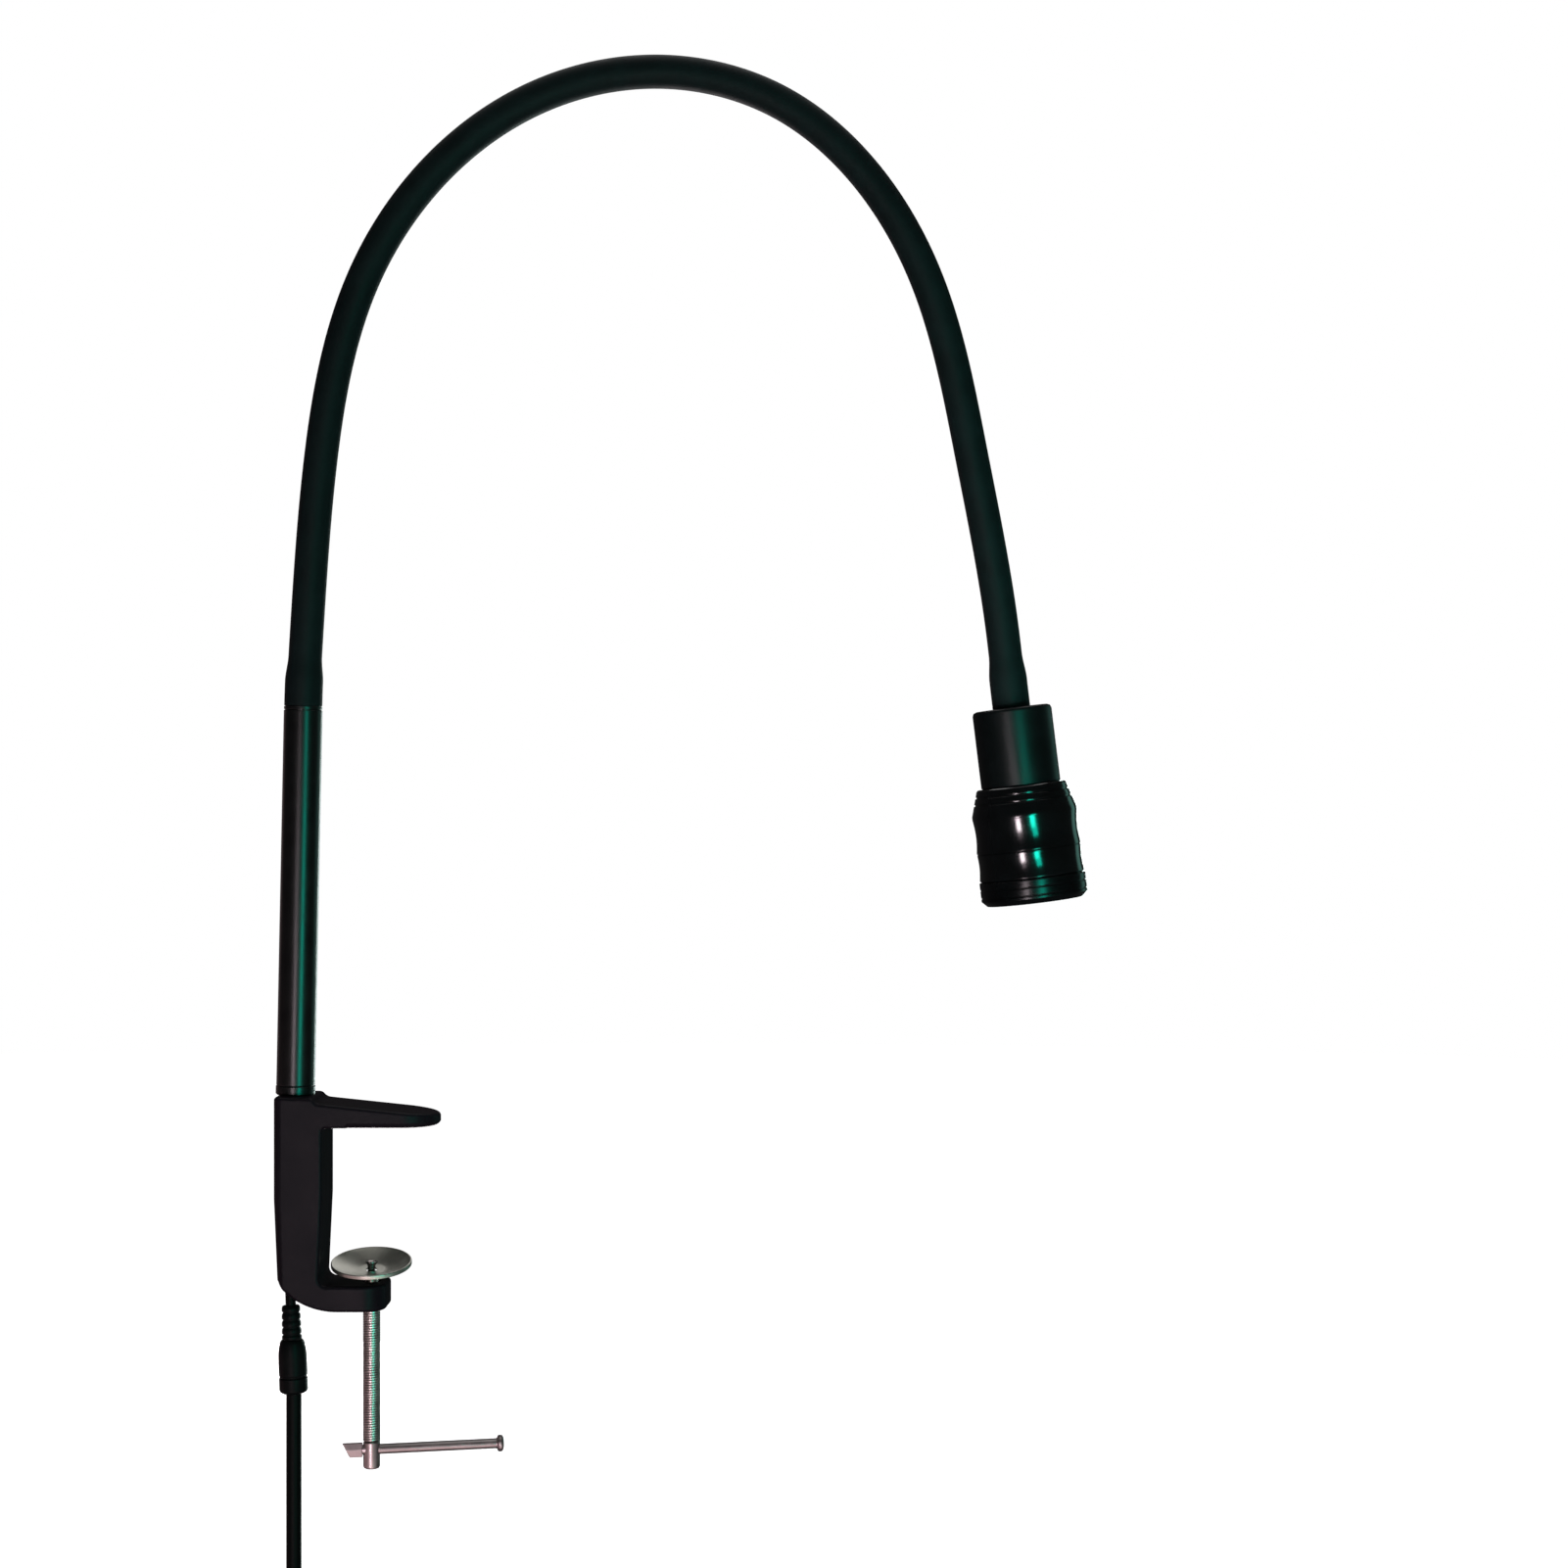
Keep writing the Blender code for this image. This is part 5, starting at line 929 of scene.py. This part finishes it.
# %% Bezel
BEZEL_TOP = -69.6
ring_height = 9.8 / 3
bezel_profile = [(19.3, BEZEL_TOP)]
for ring in range(3):
    top = BEZEL_TOP - ring * ring_height
    low = top - ring_height
    bezel_profile += [(21.4, top), (21.7, top - 0.25)]
    if ring < 2:
        bezel_profile += [(21.7, low + 0.5), (21.4, low + 0.25)]
    else:
        bezel_profile += [(21.7, low + 2.1), (19.6, low)]
bezel_profile += [(17.9, -79.4), (17.4, -78.9), (17.4, -77.8), (19.3, -77.8)]
head_bezel = finished(
    "bezel_rings", turned(bezel_profile, HEAD, 192, True), ring_anodised, "head",
    ("bezel_ring",), 0.12,
)

# %% [markdown]
# Under the head, the window shows a mirror bowl with the emitter at its bottom. The bowl's profile grows with
# the square root of its depth, which is a parabola on its side, as in any torch.

# %% Window, seal, reflector and emitter
window = [(0.0, -75.5), (18.7, -75.5), (19.0, -75.8), (19.0, -77.2), (18.7, -77.5), (0.0, -77.5)]
finished("lens_glass", turned(window, HEAD, 128), glass, "head", ("lens_window",))
seal = turned([(17.8, -73.4), (18.8, -73.4), (18.8, -75.1), (17.8, -75.1)], HEAD, 96, True)
finished("lens_seal_ring", seal, seal_rubber, "head", ("lens_seal",), 0.3)
BOWL_WALL = 0.9
inner = [(4.2 + 12.2 * sqrt(s), -52.5 - 20.5 * s) for s in np.linspace(0.0, 1.0, 25) ** 2]
bowl = turned(inner + [(radius + BOWL_WALL, height) for radius, height in reversed(inner)], HEAD, 128, True)
finished("reflector_bowl", bowl, mirror, "head", ("reflector",))
board = turned([(0.0, -50.6), (10.0, -50.6), (10.0, -52.2), (0.0, -52.2)], HEAD, 72)
finished("led_star_board", board, white_mask, "head", ("led_board",), 0.15)
package = placed(box((5.0, 5.0, 0.9), (0.0, 0.0, -52.95)), HEAD)
finished("led_ceramic", package, ceramic, "head", ("led_package",), 0.15)
dome = [(0.0, -53.7), *arc(0.0, -53.7, 2.2, 0.0, -90.0, 12)[:-1], (0.0, -55.9)]
finished("led_silicone_dome", turned(dome, HEAD, 64), emitter, "head", ("led_dome",))

# %% [markdown]
# ## The screw
#
# The thread is real geometry, because its teeth show along the edge of the screw. One tooth is a closed
# profile that is spun once round while it climbs by the pitch, and that turn is copied up the screw. It sits
# on a plain core with a hole in its nose for the pad's rivet. The foot is turned on its own, and the bar
# slides through a cross hole in it.

# %% Spindle with its thread
THREAD_PITCH = 1.0
THREAD_TOP, THREAD_LOW = -66.6, -129.6
THREAD_STEPS = 36
# A tooth is a hair lower than the pitch, so that no two turns share a face
TOOTH_HEIGHT = 0.99 * THREAD_PITCH
turns = round((THREAD_TOP - THREAD_LOW) / THREAD_PITCH) - 1
tooth_profile = [
    (2.7, 0.0), (3.28, 0.03), (3.30, 0.09), (3.45, 0.20), (3.50, 0.27), (3.50, 0.33), (3.50, 0.67),
    (3.50, 0.73), (3.45, 0.80), (3.30, 0.91), (3.28, 0.97), (2.7, 1.0),
]
tooth_path = [(radius, THREAD_LOW + rise * TOOTH_HEIGHT) for radius, rise in tooth_profile]
tooth = turned(tooth_path, UPRIGHT, THREAD_STEPS, True, THREAD_PITCH)
one_turn = [*tooth.verts, *tooth.edges, *tooth.faces]
for turn in range(1, turns):
    copied = bmesh.ops.duplicate(tooth, geom=one_turn)["geom"]
    bmesh.ops.translate(tooth, vec=(0.0, 0.0, turn * THREAD_PITCH * MM), verts=made_verts(copied))
bmesh.ops.remove_doubles(tooth, verts=tooth.verts, dist=MERGE)
bmesh.ops.holes_fill(tooth, edges=[edge for edge in tooth.edges if edge.is_boundary])
core_profile = [
    (0.0, -69.3), (1.9, -69.3), (1.9, -61.0), (2.3, -61.0), (2.55, -61.25), (2.55, -65.6), (3.05, -66.2),
    (3.05, -129.5), (0.0, -129.5),
]
foot_profile = [
    (0.0, -129.4), (3.15, -129.4), (3.4, -129.8), (3.4, -139.4), (3.05, -140.1), (2.4, -140.4), (0.0, -140.4),
]


def bar_frame(x, radius):
    """A round section of the bar or its hole, in millimetres along it."""
    return BAR @ stand((x * MM, 0.0, 0.0), 90.0, "Y") @ round_section(radius)


cross_hole = swept([bar_frame(x, 2.25) for x in (-8.0, 8.0)], 40)
finished("spindle_core", turned(core_profile, UPRIGHT, 64), nickel, "screw", ("clamp_spindle",))
spindle_foot = finished("spindle_foot", turned(foot_profile, UPRIGHT, 64), rolled_nickel, "screw")
carved(spindle_foot, [cross_hole])
soften(spindle_foot, 0.12, 2)
spindle_thread = finished("spindle_thread", tooth, rolled_nickel, "screw")

# %% [markdown]
# The pad is a pressed dish that hangs loose on a flared rivet, so it can lie flat on a table top that isn't
# square to the screw. Its rim is rolled over a little, and that is the brightest line on it.

# %% Pad and rivet
DISH_WALL = 0.7
dish = [(5.2 + 11.0 * share, 0.5 + 3.5 * share ** 1.25) for share in np.linspace(0.0, 0.9, 12)]
rim = [(15.6, 3.95), (16.1, 4.05), (16.4, 3.8), (16.4, 2.45), (16.1, 2.2), (15.7, 2.35)]
under = [(radius, height - DISH_WALL) for radius, height in reversed(dish)]
pad_profile = [(2.2, 0.5), *dish, *rim, *under, (2.2, -0.2)]
pressure_pad = finished(
    "pressure_pad_dish", turned(pad_profile, PAD, 128, True), pressed_nickel, "pad",
    ("pressure_pad",), 0.15,
)
rivet_profile = [
    (0.0, -57.4), (1.0, -57.2), (1.6, -56.3), (2.1, -55.85), (2.45, -55.9), (2.6, -56.15), (2.45, -56.5),
    (1.9, -57.0), (1.6, -57.6), (1.6, -69.0), (0.0, -69.0),
]
finished("pad_rivet_flared", turned(rivet_profile, UPRIGHT, 64), nickel, "screw", ("pad_rivet",))

# %% [markdown]
# The bar is drawn wire. One end is upset to a button in a heading tool, and once the bar is through its
# hole, the other end is pressed flat so that it can't fall out. A circle swept along it and widened makes the
# rod and its button. A box with a slanted end, a ridge along its middle and soft edges makes the flat.

# %% Sliding bar
BAR_RADIUS = 2.05
bar_rings = [(-4.6, 1.0), *[(x, BAR_RADIUS) for x in (-3.6, 0.0, 20.0, 40.0, 50.7)]]
bar_rings += [
    (51.2, 2.2), (51.4, 2.7), (51.6, 3.15), (52.1, 3.4), (52.9, 3.4), (53.5, 3.1), (53.85, 2.3), (53.9, 1.2),
]
rod = swept([bar_frame(x, radius) for x, radius in bar_rings], 40)
flat = box((8.2, 1.5, 5.8), (-7.8, 0.0, 0.0))
low_end = [v for v in flat.verts if v.co.x < -10.0 * MM and v.co.z < 0.0]
bmesh.ops.translate(flat, vec=(3.0 * MM, 0.0, 0.0), verts=low_end)
ridge = bmesh.ops.bisect_plane(
    flat, geom=[*flat.verts, *flat.edges, *flat.faces], plane_co=(0.0, 0.0, 0.2 * MM),
    plane_no=(0.0, 0.0, 1.0),
)["geom_cut"]
bmesh.ops.scale(flat, vec=(1.0, 1.9, 1.0), verts=made_verts(ridge))
bmesh.ops.bevel(
    flat, geom=list(flat.edges), offset=0.25 * MM, offset_type="OFFSET", affect="EDGES", segments=3,
    profile=0.5, clamp_overlap=True, material=-1,
)
whole_bar = joined(rod, placed(flat, BAR))
sliding_bar = finished("sliding_bar", whole_bar, drawn_nickel, "bar", ("tommy_bar",))
flat_faces(sliding_bar)

# %% [markdown]
# ## Pieces that stay hidden
#
# The nipple and plugs inside the post, and the driver inside the head, are seen only when the lamp is taken
# apart. Their solids are right as they are and only need their finish.

# %% Finishes of the hidden solids
hidden_finishes = {
    "post_nipple": nickel, "post_foot_plug": brass, "post_top_plug": brass, "ferrule_nut": nickel,
    "driver_board": green_mask, "driver_coil": seal_rubber,
}
for name, finish in hidden_finishes.items():
    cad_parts[name].data.materials.clear()
    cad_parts[name].data.materials.append(finish)
print("hidden solids", len(hidden_finishes))

# %% [markdown]
# ## Studio
#
# Strips of light stand on either side of the camera, faintly pink on the left and teal on the right, and draw
# the two bands that run down every round piece. Low cards lift the casting, and lights above and behind draw
# thin rims. The rest of the room is dim, which keeps black pieces black. Some lights are kept off some
# pieces, as flags do in a studio, and one card lights the pad alone. The floor and the background are pale
# for the camera but aren't mirrored in the lamp.


# %% Floor, world and lights
def strip(name, place, aim, width, height, tint, power, spread=180.0):
    """A soft rectangle of light, aimed at a point, that the camera doesn't see."""
    data = bpy.data.lights.new(name, "AREA")
    data.shape = "RECTANGLE"
    data.size = width
    data.size_y = height
    data.color = colour(tint)[:3]
    data.energy = power
    data.spread = radians(spread)
    made = in_scene(name, data)
    way = Vector(aim) - Vector(place)
    made.matrix_world = Matrix.Translation(place) @ way.to_track_quat("-Z", "Y").to_matrix().to_4x4()
    made.visible_camera = False
    return made


# Two points that several lights are aimed at: the middle of the arch and the clamp
ARCH, CLAMP = (0.10, 0.0, 0.1), (0.0, 0.0, -0.1)
strip("pink_upper", (-0.15, -1.19, -0.035), (0.10, 0.0, -0.035), 0.22, 0.37, "#ffe2ef", 0.54)
pink_lower = strip("pink_lower", (-0.15, -1.19, -0.39), (0.10, 0.0, -0.39), 0.22, 0.34, "#ffe2ef", 3.0)
strip("head_pink", (-0.15, -1.19, -0.165), (0.268, 0.0, 0.12), 0.20, 0.23, "#fff0f6", 0.28, 40.0)
teal_strip = strip("teal_strip", (0.485, -0.86, -0.045), (0.12, 0.0, -0.045), 0.17, 0.47, "#10e8c8", 4.3)
strip("head_teal", (0.456, -0.86, -0.12), (0.268, 0.0, 0.12), 0.15, 0.28, "#20f0d0", 0.18, 40.0)
strip("floor_card", (0.20, -0.9, -0.95), (0.10, 0.0, -0.1), 1.4, 0.9, "#ffdfe2", 4.0)
strip("front_low", (0.42, -1.2, -0.56), (0.03, 0.0, -0.135), 0.5, 0.39, "#ffe2e4", 0.25)
left_low = strip("left_low", (-0.75, -0.8, -0.55), CLAMP, 1.0, 0.6, "#ffd2da", 0.9)
left_card = strip("left_card", (-1.1, 0.1, -0.50), CLAMP, 0.6, 0.5, "#ffc8d4", 0.9)
strip("right_low", (1.0, -0.6, -0.55), CLAMP, 0.8, 0.6, "#f4f8ff", 0.4)
strip("soft_top", (0.10, -0.10, 1.30), ARCH, 0.9, 0.9, "#ffffff", 2.0)
high_back = strip("high_back", (0.10, 0.55, 1.30), ARCH, 1.2, 0.8, "#ffffff", 6.0)
back_strip = strip("back_strip", (-0.17, 1.19, -0.50), (-0.02, 0.0, -0.05), 0.24, 0.8, "#fff2f5", 8.0)
head_back = strip("head_back", (0.46, 1.19, -0.20), (0.26, 0.0, 0.15), 0.24, 0.9, "#e8fffa", 6.0)
pad_card = strip("pad_card", (0.18, 0.95, 0.50), (0.0, 0.0, -0.06), 1.0, 0.6, "#ffffff", 1.6)
left_rim = strip("left_rim", (-1.0, 0.9, 0.1), ARCH, 0.4, 0.9, "#ffd8dc", 0.4)
strip("right_rim", (1.2, 0.8, 0.1), ARCH, 0.4, 0.9, "#a8ffee", 0.8)


def flag(light, rule, *pieces):
    """Keeps a light off some pieces (EXCLUDE) or on them alone (INCLUDE)."""
    flagged = bpy.data.collections.new(light.name + "_flags")
    for piece in pieces:
        flagged.objects.link(piece)
    for entry in flagged.collection_objects:
        entry.light_linking.link_state = rule
    light.light_linking.receiver_collection = flagged


world = bpy.data.worlds.new("studio")
world.use_nodes = True
air = world.node_tree
air.nodes.clear()
WHITE = (1.0, 1.0, 1.0, 1.0)
dim, seen = [
    add(air, "ShaderNodeBackground", sockets={"Color": WHITE, "Strength": glow}).outputs["Background"]
    for glow in (0.035, 1.0)
]
ray = add(air, "ShaderNodeLightPath").outputs["Is Camera Ray"]
either = add(air, "ShaderNodeMixShader", links={0: ray, 1: dim, 2: seen}).outputs["Shader"]
add(air, "ShaderNodeOutputWorld", links={"Surface": either})
bpy.context.scene.world = world
bpy.context.scene.view_settings.view_transform = "Standard"

# Matte paper, which glows a little more away from the lamp, so that it meets the background softly
floor_finish, tree, shader = new_finish(
    "pale_floor", roughness=0.9, base_color=colour("#b8b8b8"), emission_color=WHITE,
)
floor_point = add(tree, "ShaderNodeTexCoord").outputs["Object"]
middle = {1: (0.12, 0.0, 0.0)}
away = add(tree, "ShaderNodeVectorMath", {"operation": "DISTANCE"}, middle, {0: floor_point}).outputs["Value"]
spans = {"From Min": 0.2, "From Max": 0.62, "To Min": 0.72, "To Max": 1.0}
floor_glow = add(tree, "ShaderNodeMapRange", {"interpolation_type": "SMOOTHSTEP"}, spans, {"Value": away})
tree.links.new(floor_glow.outputs["Result"], shader.inputs["Emission Strength"])
floor_shape = bmesh.new()
bmesh.ops.create_circle(floor_shape, cap_ends=True, radius=4.0, segments=128)
floor = in_scene("floor", as_mesh("floor", floor_shape))
floor.data.materials.append(floor_finish)
FLOOR_GAP = 0.002
floor.location = (0.0, 0.0, cad_box[0][2] - FLOOR_GAP)
floor.visible_glossy = False
floor.visible_diffuse = False
floor.visible_shadow = False

flag(teal_strip, "EXCLUDE", sliding_bar, spindle_foot, floor)
head_pieces = (head_neck, head_barrel, head_bezel)
flag(pink_lower, "EXCLUDE", head_neck)
for light in (left_card, left_low, left_rim):
    flag(light, "EXCLUDE", *head_pieces)
screw_pieces = (pressure_pad, spindle_thread, spindle_foot, sliding_bar)
flag(back_strip, "EXCLUDE", *head_pieces, *screw_pieces)
flag(high_back, "EXCLUDE", pressure_pad, sliding_bar)
flag(head_back, "EXCLUDE", clamp, *screw_pieces)
flag(pad_card, "INCLUDE", pressure_pad)

# %% [markdown]
# ## Finish
#
# The box of the solids is printed.

# %% Sizes
print("box of the solids", [round(c, 4) for corner in cad_box for c in corner])
